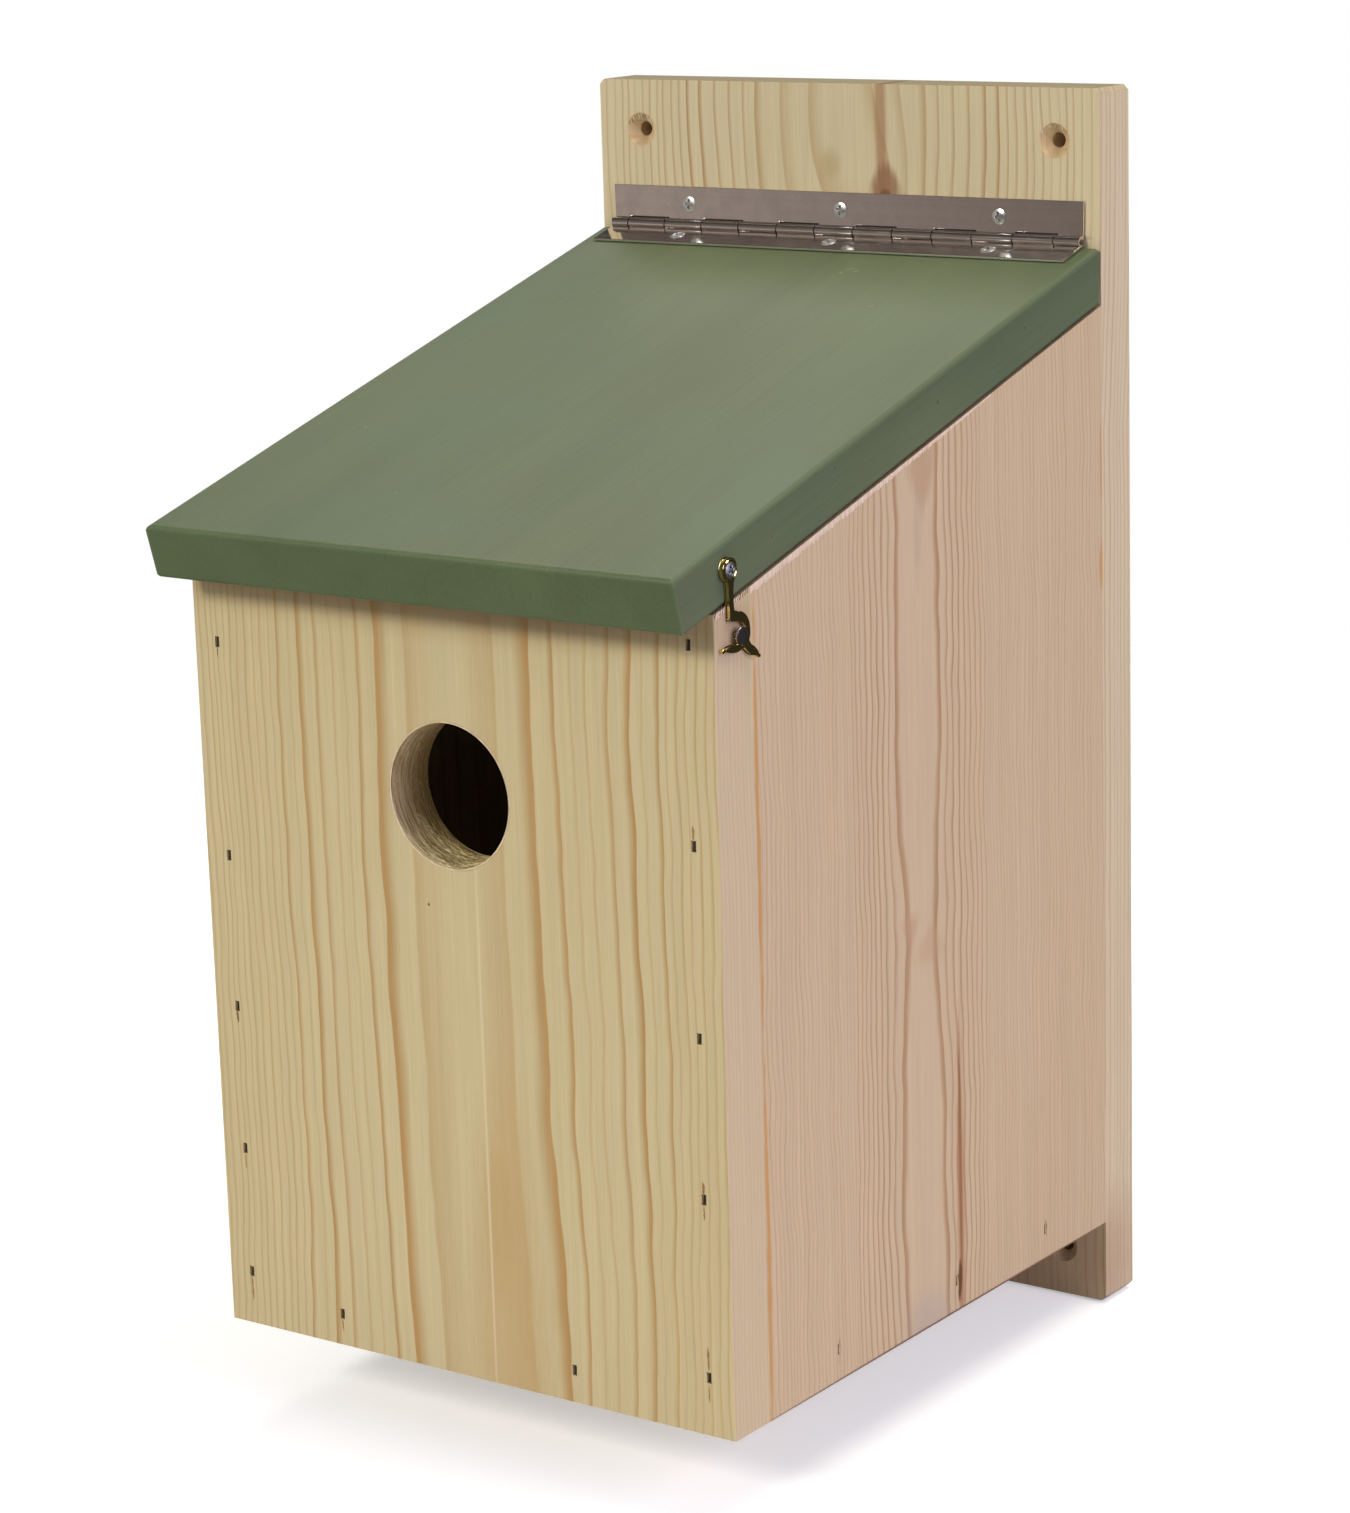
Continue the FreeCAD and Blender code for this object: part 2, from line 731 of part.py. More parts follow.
def latch_hook():
    """The stamped brass hook: eye with a raised collar, shank, mouth, toe and tail."""
    pivot_y = -size("pivot_depth")
    pivot_z = size("pivot_height") - MIDDLE
    body = new_body("latch_hook_body", x=HALF_WIDTH, y=pivot_y, z=pivot_z)
    arm = new_sketch(body, "YZ_Plane", "hook_outline", size("hook_stand_off"))
    hook_outline(arm)
    pad(body, arm, size("hook_thick"))
    eye = new_sketch(body, "YZ_Plane", "hook_eye", size("hook_stand_off"))
    draw_circle(eye, (0, 0), size("hook_eye"))
    pad(body, eye, size("hook_thick"))
    face_x = (size("hook_stand_off") + size("hook_thick")).value
    round_edges(body, size("hook_arris"), lambda edge: edge.BoundBox.XMin > face_x - 0.01)
    collar = new_sketch(body, "YZ_Plane", "hook_collar", 0.1)
    draw_circle(collar, (0, 0), size("hook_collar"))
    pad(body, collar, size("hook_stand_off") + size("hook_thick") + size("collar_rise") - 0.1)
    bore = new_sketch(body, "YZ_Plane", "hook_bore")
    draw_circle(bore, (0, 0), size("hook_bore"))
    pocket_through(body, bore)
    hand_in("latch_hook", body)


# ---------------------------------------------------------------- build


def check_document():
    """Stop on a failed object, an empty shape or an invalid one."""
    for item in doc.Objects:
        if "Invalid" in item.State or "Error" in item.State:
            raise RuntimeError(f"{item.Name} failed: {item.State}")
    for name, item in parts.items():
        shape = item.Shape
        if shape.isNull() or not shape.isValid() or not shape.Solids:
            raise RuntimeError(f"{name} has no valid solid")


def build():
    """Make every sub-part and write them all."""
    holes = all_brads()
    back_blanks, roof_blanks = hinge()
    pivot = latch_screw()
    peg = latch_peg()
    latch_hook()
    back_board(holes["back_left"] + holes["back_right"] + holes["back_bottom"] + back_blanks)
    front_panel(holes["front_left"] + holes["front_right"] + holes["front_bottom"] + [peg])
    side_panel("left_side_panel", -HALF_WIDTH,
               holes["front_left"] + holes["back_left"] + holes["left_bottom"])
    side_panel("right_side_panel", HALF_WIDTH - BOARD,
               holes["front_right"] + holes["back_right"] + holes["right_bottom"])
    floor_panel(holes["front_bottom"] + holes["left_bottom"]
                + holes["right_bottom"] + holes["back_bottom"])
    roof_panel(roof_blanks + [pivot])
    doc.recompute()
    check_document()
    os.makedirs("parts", exist_ok=True)
    for name, item in parts.items():
        item.Shape.exportStep(f"parts/{name}.step")
        box = item.Shape.BoundBox
        print(f"{name:20s} solids {len(item.Shape.Solids):2d}  volume {item.Shape.Volume:10.1f}  "
              f"x {box.XMin:.1f}..{box.XMax:.1f}  y {box.YMin:.1f}..{box.YMax:.1f}  "
              f"z {box.ZMin:.1f}..{box.ZMax:.1f}")
    print(f"hinge axis y {HINGE_Y.value:.3f} z {HINGE_Z.value - MIDDLE.value:.3f}")


build()
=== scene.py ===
# %% [markdown]
# # A pine birdhouse with a green lid roof
#
# The object is a small joinery job: five planed pine boards, a painted roof board, a piano hinge,
# a brass hook and a few dozen brads. Everything here is in metres, with +Y into the wall and +Z
# up, and is built around that frame. Boards whose shape is already right keep their measured mesh
# and only get a finish. Small metal parts and torn wood are modelled again with the rounding and
# roughness that catch light.

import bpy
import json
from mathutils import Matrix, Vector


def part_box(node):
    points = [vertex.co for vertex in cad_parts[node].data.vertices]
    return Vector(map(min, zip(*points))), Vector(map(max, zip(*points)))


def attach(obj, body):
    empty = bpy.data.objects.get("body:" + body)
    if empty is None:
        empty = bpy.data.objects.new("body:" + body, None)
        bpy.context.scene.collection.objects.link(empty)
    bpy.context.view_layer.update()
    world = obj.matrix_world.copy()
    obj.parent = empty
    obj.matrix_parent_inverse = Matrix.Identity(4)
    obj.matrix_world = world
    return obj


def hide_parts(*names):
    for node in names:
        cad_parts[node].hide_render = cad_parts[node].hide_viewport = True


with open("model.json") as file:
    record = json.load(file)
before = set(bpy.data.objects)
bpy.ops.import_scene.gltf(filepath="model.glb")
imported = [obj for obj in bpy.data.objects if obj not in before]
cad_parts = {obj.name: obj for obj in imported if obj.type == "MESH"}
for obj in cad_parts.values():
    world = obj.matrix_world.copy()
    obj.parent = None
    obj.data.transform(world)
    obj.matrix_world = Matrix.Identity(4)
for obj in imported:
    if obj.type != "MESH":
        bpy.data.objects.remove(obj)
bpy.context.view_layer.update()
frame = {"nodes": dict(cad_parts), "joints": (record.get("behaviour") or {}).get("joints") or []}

import json
import math
import random

import bmesh
import bpy
from mathutils import Matrix, Quaternion, Vector, noise

scene = bpy.context.scene
MM = 0.001
print("nodes in the frame:", len(frame["nodes"]))

# %% [markdown]
# ## Small words for node trees
#
# Every finish below is a node tree.  A wire is a node's output that can stand in a sum, so that a
# tree reads like a line of arithmetic: each sign adds one math node.

# %% Node helpers


class Wire:
    """A node's output that can stand in a sum."""

    def __init__(self, net, socket):
        self.net = net
        self.socket = socket


def add_sign(sign, operation):
    """Let a sign between wires, or a wire and a number, add a math node."""
    setattr(Wire, f"__{sign}__", lambda self, other: self.net.math(operation, self, other))
    setattr(Wire, f"__r{sign}__", lambda self, other: self.net.math(operation, other, self))


for sign, operation in (("add", "ADD"), ("sub", "SUBTRACT"), ("mul", "MULTIPLY"), ("truediv", "DIVIDE"),
                        ("pow", "POWER")):
    add_sign(sign, operation)


class Net:
    """A node tree with short words for adding nodes."""

    def __init__(self, tree):
        self.tree = tree

    def feed(self, socket, value):
        """Link a wire into a socket, or set the socket's own value."""
        if isinstance(value, Wire):
            self.tree.links.new(value.socket, socket)
        elif value is not None:
            socket.default_value = value

    def node(self, kind, inputs=(), **settings):
        """Add a node, apply its settings, then feed its inputs by position or by name."""
        node = self.tree.nodes.new(kind)
        for name, value in settings.items():
            setattr(node, name, value)
        for key, value in inputs.items() if isinstance(inputs, dict) else enumerate(inputs):
            self.feed(node.inputs[key], value)
        return node

    def add(self, kind, inputs=(), out=0, **settings):
        """Add a node and hand back one of its outputs."""
        return Wire(self, self.node(kind, inputs, **settings).outputs[out])

    def math(self, operation, *values):
        return self.add("ShaderNodeMath", values, operation=operation)

    def vector(self, operation, *values):
        inputs = dict(enumerate(values))
        if operation == "SCALE":
            inputs["Scale"] = inputs.pop(1)
        out = "Value" if operation in ("LENGTH", "DOT_PRODUCT") else 0
        return self.add("ShaderNodeVectorMath", inputs, out, operation=operation)

    def join(self, *parts):
        return self.add("ShaderNodeCombineXYZ", parts)

    def split(self, vector):
        return [Wire(self, socket) for socket in self.node("ShaderNodeSeparateXYZ", [vector]).outputs]

    def normal(self):
        return self.add("ShaderNodeNewGeometry", out="Normal")

    def noise(self, vector, scale, detail=2.0, roughness=0.5):
        """Noise with its own stretch: scale is a triple, or one number, of cycles per unit."""
        scale = scale if isinstance(scale, tuple) else (scale,) * 3
        inputs = {"Vector": self.vector("MULTIPLY", vector, scale), "Scale": 1.0, "Detail": detail,
                  "Roughness": roughness}
        return self.add("ShaderNodeTexNoise", inputs, "Fac")

    def between(self, value, low, high, out_low=0.0, out_high=1.0, kind="LINEAR"):
        """Map a range to another one, clamped."""
        return self.add("ShaderNodeMapRange", [value, low, high, out_low, out_high], interpolation_type=kind)

    def ramp(self, factor, stops, interpolation="LINEAR"):
        """A ramp from (position, colour) stops."""
        node = self.node("ShaderNodeValToRGB", [factor])
        node.color_ramp.interpolation = interpolation
        elements = node.color_ramp.elements
        while len(elements) < len(stops):
            elements.new(0.5)
        for element, (position, color) in zip(elements, stops):
            element.position = position
            element.color = (*color, 1)
        return Wire(self, node.outputs["Color"])

    def blend(self, factor, first, second, mode="MIX"):
        """Mix two colours, each a wire or a triple."""
        node = self.node("ShaderNodeMix", data_type="RGBA", blend_type=mode)
        for key, value in (("Factor", factor), ("A", first), ("B", second)):
            socket = next(s for s in node.inputs if s.name == key and s.enabled)
            self.feed(socket, (*value, 1) if isinstance(value, tuple) else value)
        return Wire(self, next(s for s in node.outputs if s.enabled))

    def group(self, tree, **values):
        """Place a shader group; an underscore in a name stands for a space."""
        inputs = {name.replace("_", " "): value for name, value in values.items()}
        return self.named(self.node("ShaderNodeGroup", inputs, node_tree=tree).outputs)

    def named(self, sockets):
        return {socket.name: Wire(self, socket) for socket in sockets}


def start_group(name, inputs, outputs):
    """An empty shader group: its net, the values given to it and the values it gives."""
    tree = bpy.data.node_groups.new(name, "ShaderNodeTree")
    for label, default in inputs.items():
        kind = "NodeSocketVector" if isinstance(default, tuple) else "NodeSocketFloat"
        tree.interface.new_socket(label, in_out="INPUT", socket_type=kind).default_value = default
    for label in outputs:
        tree.interface.new_socket(label, in_out="OUTPUT", socket_type="NodeSocketFloat")
    net = Net(tree)
    return net, net.named(net.node("NodeGroupInput").outputs), net.node("NodeGroupOutput").inputs


class Finish(Net):
    """A new material's tree, with its shader and the point on the piece."""

    def __init__(self, name):
        self.material = bpy.data.materials.new(name)
        self.material.use_nodes = True
        super().__init__(self.material.node_tree)
        self.shader = self.tree.nodes["Principled BSDF"].inputs
        self.body = self.add("ShaderNodeTexCoord", out="Object")

    def coat(self, color, roughness, height, strength, distance):
        """Feed the colour, the roughness and the fine relief, and hand back the material."""
        self.feed(self.shader["Base Color"], color)
        self.feed(self.shader["Roughness"], roughness)
        relief = {"Strength": strength, "Distance": distance, "Height": height}
        self.feed(self.shader["Normal"], self.add("ShaderNodeBump", relief))
        return self.material


def new_object(name, data):
    """A scene object at the origin for some finished data."""
    thing = bpy.data.objects.new(name, data)
    scene.collection.objects.link(thing)
    return thing


print("node helpers ready")

# %% [markdown]
# ## Where the camera stands
#
# The birdhouse is seen from its front right corner, a little from above, with a long lens that
# keeps the uprights nearly parallel.  The camera is aimed at the middle of the box and then
# rolled slightly, as a hand-levelled camera often is.

# %% Camera
CAMERA_PLACE, CAMERA_AIM = (0.5334, -0.8290, 0.2132), (-0.0008, -0.0862, -0.0024)
CAMERA_ROLL = math.radians(-1.71)
LENS_MM, SENSOR_MM = 97.55, 36.0


def stand(thing, place, aim, roll=0.0):
    """Stand a camera or a lamp at a place, turned to its aim."""
    view_line = (Vector(aim) - Vector(place)).normalized()
    thing.rotation_mode = "QUATERNION"
    thing.rotation_quaternion = Quaternion(view_line, -roll) @ view_line.to_track_quat("-Z", "Y")
    thing.location = place


scene.camera = new_object("camera", bpy.data.cameras.new("camera"))
scene.camera.data.lens, scene.camera.data.sensor_width = LENS_MM, SENSOR_MM
stand(scene.camera, CAMERA_PLACE, CAMERA_AIM, CAMERA_ROLL)
print("lens", LENS_MM, "mm at", CAMERA_PLACE)

# %% [markdown]
# ## Floor and light
#
# A pale floor and a few large soft lamps make a plain studio.  The lamp in front is a little
# yellow and the one on the right a little pink.  The side boards also take a pinker copy of the
# pine, which paints in part of that pink cast, so the pine looks like butter on the front and like
# salmon on the side.  Polished metal shows whatever is around it, so mirror rays see a world that
# is brown grey in front and dark at the right and behind, and they pass through the floor.
# Everything else sees plain white.

# %% Floor
FLOOR_DROP, FLOOR_REACH = 0.0006, 2.0
FLOOR_FADE_START, FLOOR_FADE_END = 0.30, 1.0
FLOOR_GLOW = 0.42


def make_floor():
    """A wide pale floor just under the back board's lower end, fading out far away."""
    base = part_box("back_board")[0][2] - FLOOR_DROP
    mesh = bpy.data.meshes.new("floor")
    corners = [(-1, -1), (1, -1), (1, 1), (-1, 1)]
    mesh.from_pydata([(x * FLOOR_REACH, y * FLOOR_REACH, base) for x, y in corners], [], [(0, 1, 2, 3)])
    floor = new_object("floor", mesh)
    net = Finish("pale_floor")
    net.feed(net.shader["Base Color"], (0.90, 0.90, 0.92, 1))
    net.feed(net.shader["Roughness"], 0.9)
    net.feed(net.shader["Emission Color"], (1.0, 1.0, 1.0, 1))
    net.feed(net.shader["Emission Strength"], net.add("ShaderNodeLightPath", out="Is Camera Ray") * FLOOR_GLOW)
    far = net.vector("LENGTH", net.body)
    net.feed(net.shader["Alpha"], net.between(far, FLOOR_FADE_END, FLOOR_FADE_START, kind="SMOOTHSTEP"))
    mesh.materials.append(net.material)
    floor.visible_glossy = False
    print("floor at z", round(base, 4))


make_floor()

# %% Lamps
SUBJECT = (0.0, -0.09, 0.0)
LAMPS = {  # place, size, power and tint
    "front_lamp": ((-0.45, -1.60, 0.88), 0.34, 16.0, (1.0, 0.95, 0.86)),
    "right_lamp": ((1.55, -0.22, 0.55), 0.9, 10.8, (0.97, 0.89, 1.28)),
    "sky_lamp": ((-0.95, 0.75, 1.55), 0.6, 5.8, (0.98, 1.0, 0.97)),
    "top_lamp": ((0.34, 0.06, 1.10), 0.6, 6.5, (1.0, 0.96, 0.78)),
}

for name, (place, size, power, tint) in LAMPS.items():
    lamp = new_object(name, bpy.data.lights.new(name, "AREA"))
    lamp.data.size, lamp.data.energy, lamp.data.color = size, power, tint
    stand(lamp, place, SUBJECT)
print("lamps:", sorted(LAMPS))

# %% World
MIRROR_FRONT = (-0.85, -0.45, -0.28)
MIRROR_WORLD = [(0.0, (0.028, 0.026, 0.024)), (0.55, (0.07, 0.06, 0.055)), (0.84, (0.15, 0.125, 0.11)),
                (0.90, (0.36, 0.31, 0.28))]
SOFT_WHITE, SOFT_SHARE = (0.98, 0.99, 1.0, 1), 0.30


def make_world():
    """White to the eye, soft grey to plain surfaces, brown grey and dark to mirrors."""
    scene.world = bpy.data.worlds.new("studio")
    scene.world.use_nodes = True
    net = Net(scene.world.node_tree)

    def glow(color, strength=1.0):
        return net.add("ShaderNodeBackground", [color, strength])

    lean = net.vector("DOT_PRODUCT", net.add("ShaderNodeTexCoord", out="Generated"), MIRROR_FRONT)
    light = glow(SOFT_WHITE, SOFT_SHARE)
    for rays, own in (("Is Glossy Ray", glow(net.ramp(lean, MIRROR_WORLD))), ("Is Camera Ray", glow((1, 1, 1, 1)))):
        light = net.add("ShaderNodeMixShader", [net.add("ShaderNodeLightPath", out=rays), light, own])
    net.feed(net.tree.nodes["World Output"].inputs[0], light)


make_world()
scene.view_settings.view_transform = "Standard"
print("world:", scene.world.name)

# %% [markdown]
# ## Growth rings
#
# Pine grows a wide pale band each spring and ends the year with a thin dark line of latewood.
# The lines are shells around the tree's heart.  A flat-sawn board cuts them nearly edge on at its
# sides, where they crowd together, and nearly flat in its middle, where they spread into broad
# bands and flames.  A board's own frame is across, into and along the board, in millimetres.
# The first group bends that frame a little, as real fibres wander, and measures the reach: how
# far from the board's middle line a ring comes to the face.  It is solid in space, so face, edge
# and end grain agree.  A knot pushes the rings aside or pinches them.

# %% Ring reach
BELL_WIDTH = 34.0
RISE_LIMIT = 26.0


def make_reach_group():
    net, given, gives = start_group(
        "ring reach",
        {"Place": (0.0, 0.0, 0.0), "Heart Depth": 90.0, "Sway": 3.0, "Ripple": 0.7, "Drift": 0.0,
         "Swell": 0.0, "Swell Height": 0.0, "Knot": (0.0, 0.0, 0.0), "Knot Size": 8.0,
         "Knot Pull": 0.0, "Seed": 0.0},
        ["Reach", "Fibre"])
    place, heart = given["Place"], given["Heart Depth"]
    seeded = net.vector("ADD", place, net.join(given["Seed"], 0.0, given["Seed"]))
    sway = (net.noise(seeded, (0.017, 0.017, 0.0075), 1.0) - 0.5) * given["Sway"]
    ripple = (net.noise(seeded, (0.055, 0.03, 0.030), 2.0) - 0.5) * given["Ripple"]
    across, depth, along = net.split(place)
    drift = along * given["Drift"] * net.math("EXPONENT", (across / BELL_WIDTH) ** 2.0 * -1.0)
    bent = (across + sway * 2.0) + (ripple * 4.0 + drift)
    rise = net.math("ABSOLUTE", (along - given["Swell Height"]) * given["Swell"])
    rise = net.math("MINIMUM", rise, RISE_LIMIT)
    shell = (depth + heart) ** 2.0 - heart ** 2.0
    reach = net.math("SQRT", net.math("MAXIMUM", shell + (bent ** 2.0 + rise ** 2.0), 0.0))
    off_knot = net.vector("MULTIPLY", net.vector("SUBTRACT", place, given["Knot"]), (1.0, 0.0, 0.45))
    near = net.vector("LENGTH", off_knot) / given["Knot Size"]
    pull = net.math("EXPONENT", near ** 2.0 * -1.0)
    net.feed(gives["Reach"], reach + pull * given["Knot Pull"])
    net.feed(gives["Fibre"], net.noise(seeded, (2.4, 2.4, 0.030), 4.0, 0.65))
    return net.tree


reach_group = make_reach_group()
print("ring reach nodes:", len(reach_group.nodes))

# %% [markdown]
# ## Year lines
#
# The second group turns a running count of years into what the eye sees: latewood that darkens
# slowly and stops sharply.  Each year has its own strength, and its own bite, the share of the
# year that is dark.  Small brown dashes are resin canals, cut open along the latewood.

# %% Year lines


def make_year_group():
    net, given, gives = start_group(
        "year lines", {"Years": 0.0, "Strength": 0.5, "Bite": 0.35, "Place": (0.0, 0.0, 0.0)},
        ["Late", "Edge", "Canals"])
    season = net.math("FRACT", given["Years"])
    stop = net.between(season, 0.955, 0.995, 1.0, 0.0)
    grow = net.between(season, 0.97 - given["Bite"], 0.93, kind="SMOOTHSTEP")
    late = grow * stop * given["Strength"]
    specks = net.noise(given["Place"], (2.1, 2.1, 0.16), 1.0)
    net.feed(gives["Late"], late)
    net.feed(gives["Edge"], net.between(season, 0.80, 0.94) * stop * given["Strength"])
    net.feed(gives["Canals"], net.between(specks, 0.70, 0.76) * net.between(late, 0.05, 0.5, 0.25, 1.0))
    return net.tree


year_group = make_year_group()
print("year line nodes:", len(year_group.nodes))

# %% [markdown]
# ## Marks on a board
#
# Knots, resin streaks, stains and glue lines are all soft patches with a centre, a half size and
# a ragged edge.  So are some painted light and shade: the painted shadow under the roof overhang,
# painted shade behind the hinge and low on the back board, and a painted pink cast on right-facing
# edges.  Taper makes one end narrower, which gives a flame or a wedge.  One group draws them all,
# and each board lists its own.

# %% Mark group


def make_mark_group():
    net, given, gives = start_group(
        "board mark",
        {"Place": (0.0, 0.0, 0.0), "Centre": (0.0, 0.0, 0.0), "Half Size": (1.0, 1.0, 1.0),
         "Taper": 0.0, "Ragged": 0.1, "Soft": 0.4},
        ["Mask"])
    off = net.vector("DIVIDE", net.vector("SUBTRACT", given["Place"], given["Centre"]), given["Half Size"])
    across, depth, along = net.split(off)
    narrow = net.math("MAXIMUM", along * given["Taper"] + 1.0, 0.02)
    tear = net.noise(given["Place"], (0.9, 0.9, 0.11), 3.0) - 0.5
    away = net.vector("LENGTH", net.join(across / narrow, depth, along)) + tear * given["Ragged"]
    mask = net.between(away, 1.0 + given["Soft"], 1.0 - given["Soft"], kind="SMOOTHSTEP")
    net.feed(gives["Mask"], mask)
    return net.tree


mark_group = make_mark_group()
print("mark nodes:", len(mark_group.nodes))

# %% [markdown]
# ## Bare planed pine
#
# One function makes the wood of every bare board.  A board brings its frame, its rings and its
# marks.  The rings are a short list of where each dark line meets the face, how strong it is and
# how much of its year is dark, because the eye knows a board by those few lines.

# %% Pine material
REACH_SPAN, YEAR_SPAN = 110.0, 64.0
STAIR = 24
CUTTER_WAVES = 3.3


def ring_curve(net, reach, rings):
    """Turn reach into a count of years, one year for each listed ring."""
    node = net.node("ShaderNodeFloatCurve", {"Value": reach / REACH_SPAN})
    curve = node.mapping.curves[0]
    points = [(0.0, 0.0)] + [(ring[0] / REACH_SPAN, (year + 1) / YEAR_SPAN) for year, ring in enumerate(rings)]
    curve.points[0].location = points[0]
    curve.points[1].location = points[-1]
    for point in points[1:-1]:
        curve.points.new(*point)
    for point in curve.points:
        point.handle_type = "VECTOR"
    node.mapping.update()
    return Wire(net, node.outputs[0]) * YEAR_SPAN


def fill_rings(rings, step, seed, strength=0.45, bite=0.42):
    """Carry a ring list on to the far edge of the board with small even years."""
    chance = random.Random(seed)
    rings = list(rings)
    while rings[-1][0] < REACH_SPAN - step * 1.4 and len(rings) < 2 * STAIR - 1:
        grow = step * chance.uniform(0.75, 1.3)
        rings.append((rings[-1][0] + grow, strength * chance.uniform(0.55, 1.25), bite * chance.uniform(0.8, 1.2)))
    return rings


def year_table(net, years, rings):
    """Each year's strength and bite, from two fine stairs."""
    stairs = []
    for start in (0, STAIR):
        share = (years - float(start)) / float(STAIR)
        stops = [(index / STAIR, (ring[1], ring[2], 0.0)) for index, ring in enumerate(rings[start:start + STAIR])]
        stairs.append(net.ramp(share, stops, "CONSTANT"))
    late_half = net.math("GREATER_THAN", years, float(STAIR))
    return net.split(net.blend(late_half, *stairs))[:2]


def pine(name, frame_at, frame_turn, rings, colors, marks=(), relief=0.2, end_axis=2, **bends):
    """Planed pine: years, fibres, canals, slow changes of tone, marks and a low sheen."""
    net = Finish(name)
    own_frame = {"Vector": net.body, "Location": frame_at, "Rotation": frame_turn, "Scale": (MM, MM, MM)}
    place = net.add("ShaderNodeMapping", own_frame, vector_type="TEXTURE")
    ring = net.group(reach_group, Place=place, **bends)
    years = ring_curve(net, ring["Reach"], rings)
    strength, bite = year_table(net, years, rings)
    line = net.group(year_group, Years=years, Strength=strength, Bite=bite, Place=place)
    early, late, edge, deep = colors
    color = net.blend(line["Late"] * 0.95, early, late)
    color = net.blend(line["Edge"] * 0.55, color, edge)
    cloud = net.noise(place, (0.030, 0.030, 0.008), 2.0)
    color = net.blend(net.between(cloud, 0.42, 0.72, 0.0, 0.30), color, deep)
    streak = net.noise(place, (0.45, 0.45, 0.010), 3.0, 0.6)
    color = net.vector("SCALE", color, net.between(streak, 0.3, 0.7, 0.955, 1.04))
    color = net.vector("SCALE", color, net.between(ring["Fibre"], 0.28, 0.72, 0.93, 1.06))
    color = net.blend(line["Canals"] * 0.45, color, edge)
    for shape, tint, share in marks:
        mask = net.group(mark_group, Place=place, **shape)["Mask"]
        color = net.blend(mask * share, color, tint)
    ends = net.between(net.math("ABSOLUTE", net.split(net.normal())[end_axis]), 0.55, 0.9)
    end_tone = net.between(net.noise(place, (2.6, 2.6, 0.2), 2.0), 0.35, 0.65, 0.42, 0.60)
    color = net.blend(ends, color, net.blend(1.0, color, net.join(end_tone, end_tone, end_tone), "MULTIPLY"))
    cutter = net.math("SINE", net.split(place)[2] * CUTTER_WAVES)
    height = ring["Fibre"] * 0.5 + line["Late"] * 0.8 + cutter * 0.02
    net.feed(net.shader["Specular IOR Level"], 0.3)
    return net.coat(color, net.between(ring["Fibre"], 0.2, 0.8, 0.50, 0.66), height, relief, 0.3 * MM)


print("ring lists may hold up to", 2 * STAIR, "years")

# %% [markdown]
# ## The five bare boards
#
# The front panel has wide years and two strong orange lines left of its hole.  The sides were cut
# near the heart of a slow tree: a pale band down the middle with crowded lines on both sides.
# The back board has a knot just above the hinge.

# %% Board woods
BASE = -0.145
BUTTER = ((0.585, 0.490, 0.283), (0.430, 0.265, 0.095), (0.470, 0.250, 0.075), (0.550, 0.430, 0.215))
# SALMON is a pinker copy of the pine for the side boards; it paints in part of the pink cast of the light from the
# right.
SALMON = ((0.595, 0.452, 0.285), (0.430, 0.258, 0.138), (0.420, 0.235, 0.105), (0.560, 0.405, 0.240))
STRAW = ((0.680, 0.580, 0.370), (0.430, 0.258, 0.090), (0.450, 0.240, 0.095), (0.620, 0.490, 0.285))
FRONT_RINGS = [(13.0, 0.34, 0.80), (22.0, 1.00, 0.50), (27.6, 0.80, 0.30), (31.5, 0.22, 0.30), (35.0, 0.30, 0.30),
               (40.0, 0.60, 0.34), (45.0, 0.95, 0.46), (47.6, 0.25, 0.35), (51.3, 0.80, 0.42), (53.2, 0.35, 0.4),
               (55.6, 0.45, 0.4), (57.6, 0.40, 0.4), (60.0, 0.50, 0.4), (62.4, 0.45, 0.4), (64.4, 0.5, 0.4)]
SIDE_RINGS = [(9.5, 0.95, 0.26), (12.2, 0.70, 0.45), (14.6, 0.90, 0.45), (17.0, 0.95, 0.45), (19.2, 0.85, 0.45),
              (21.3, 0.75, 0.45), (23.3, 0.65, 0.45), (25.2, 0.65, 0.45), (27.0, 0.60, 0.45)]
BACK_RINGS = [(9.0, 0.40, 0.45), (17.0, 0.35, 0.55), (24.5, 0.60, 0.34), (28.0, 0.45, 0.30), (32.0, 0.50, 0.30),
              (36.0, 0.50, 0.30), (40.5, 0.75, 0.36), (44.0, 0.85, 0.36), (46.3, 0.5, 0.4)]
ORANGE, RESIN = (0.56, 0.300, 0.095), (0.70, 0.44, 0.22)
THROUGH, SKIN_DEEP = 16.0, 3.0  # most marks go right through their board


def mark(centre, half, tint, share, taper=0.0, ragged=0.5, soft=0.4, deep=THROUGH):
    """One patch in a board's own frame: across, into and along, in millimetres."""
    shape = {"Centre": (centre[0], 0.0, centre[1]), "Half_Size": (half[0], deep, half[1]),
             "Taper": taper, "Ragged": ragged, "Soft": soft}
    return shape, tint, share


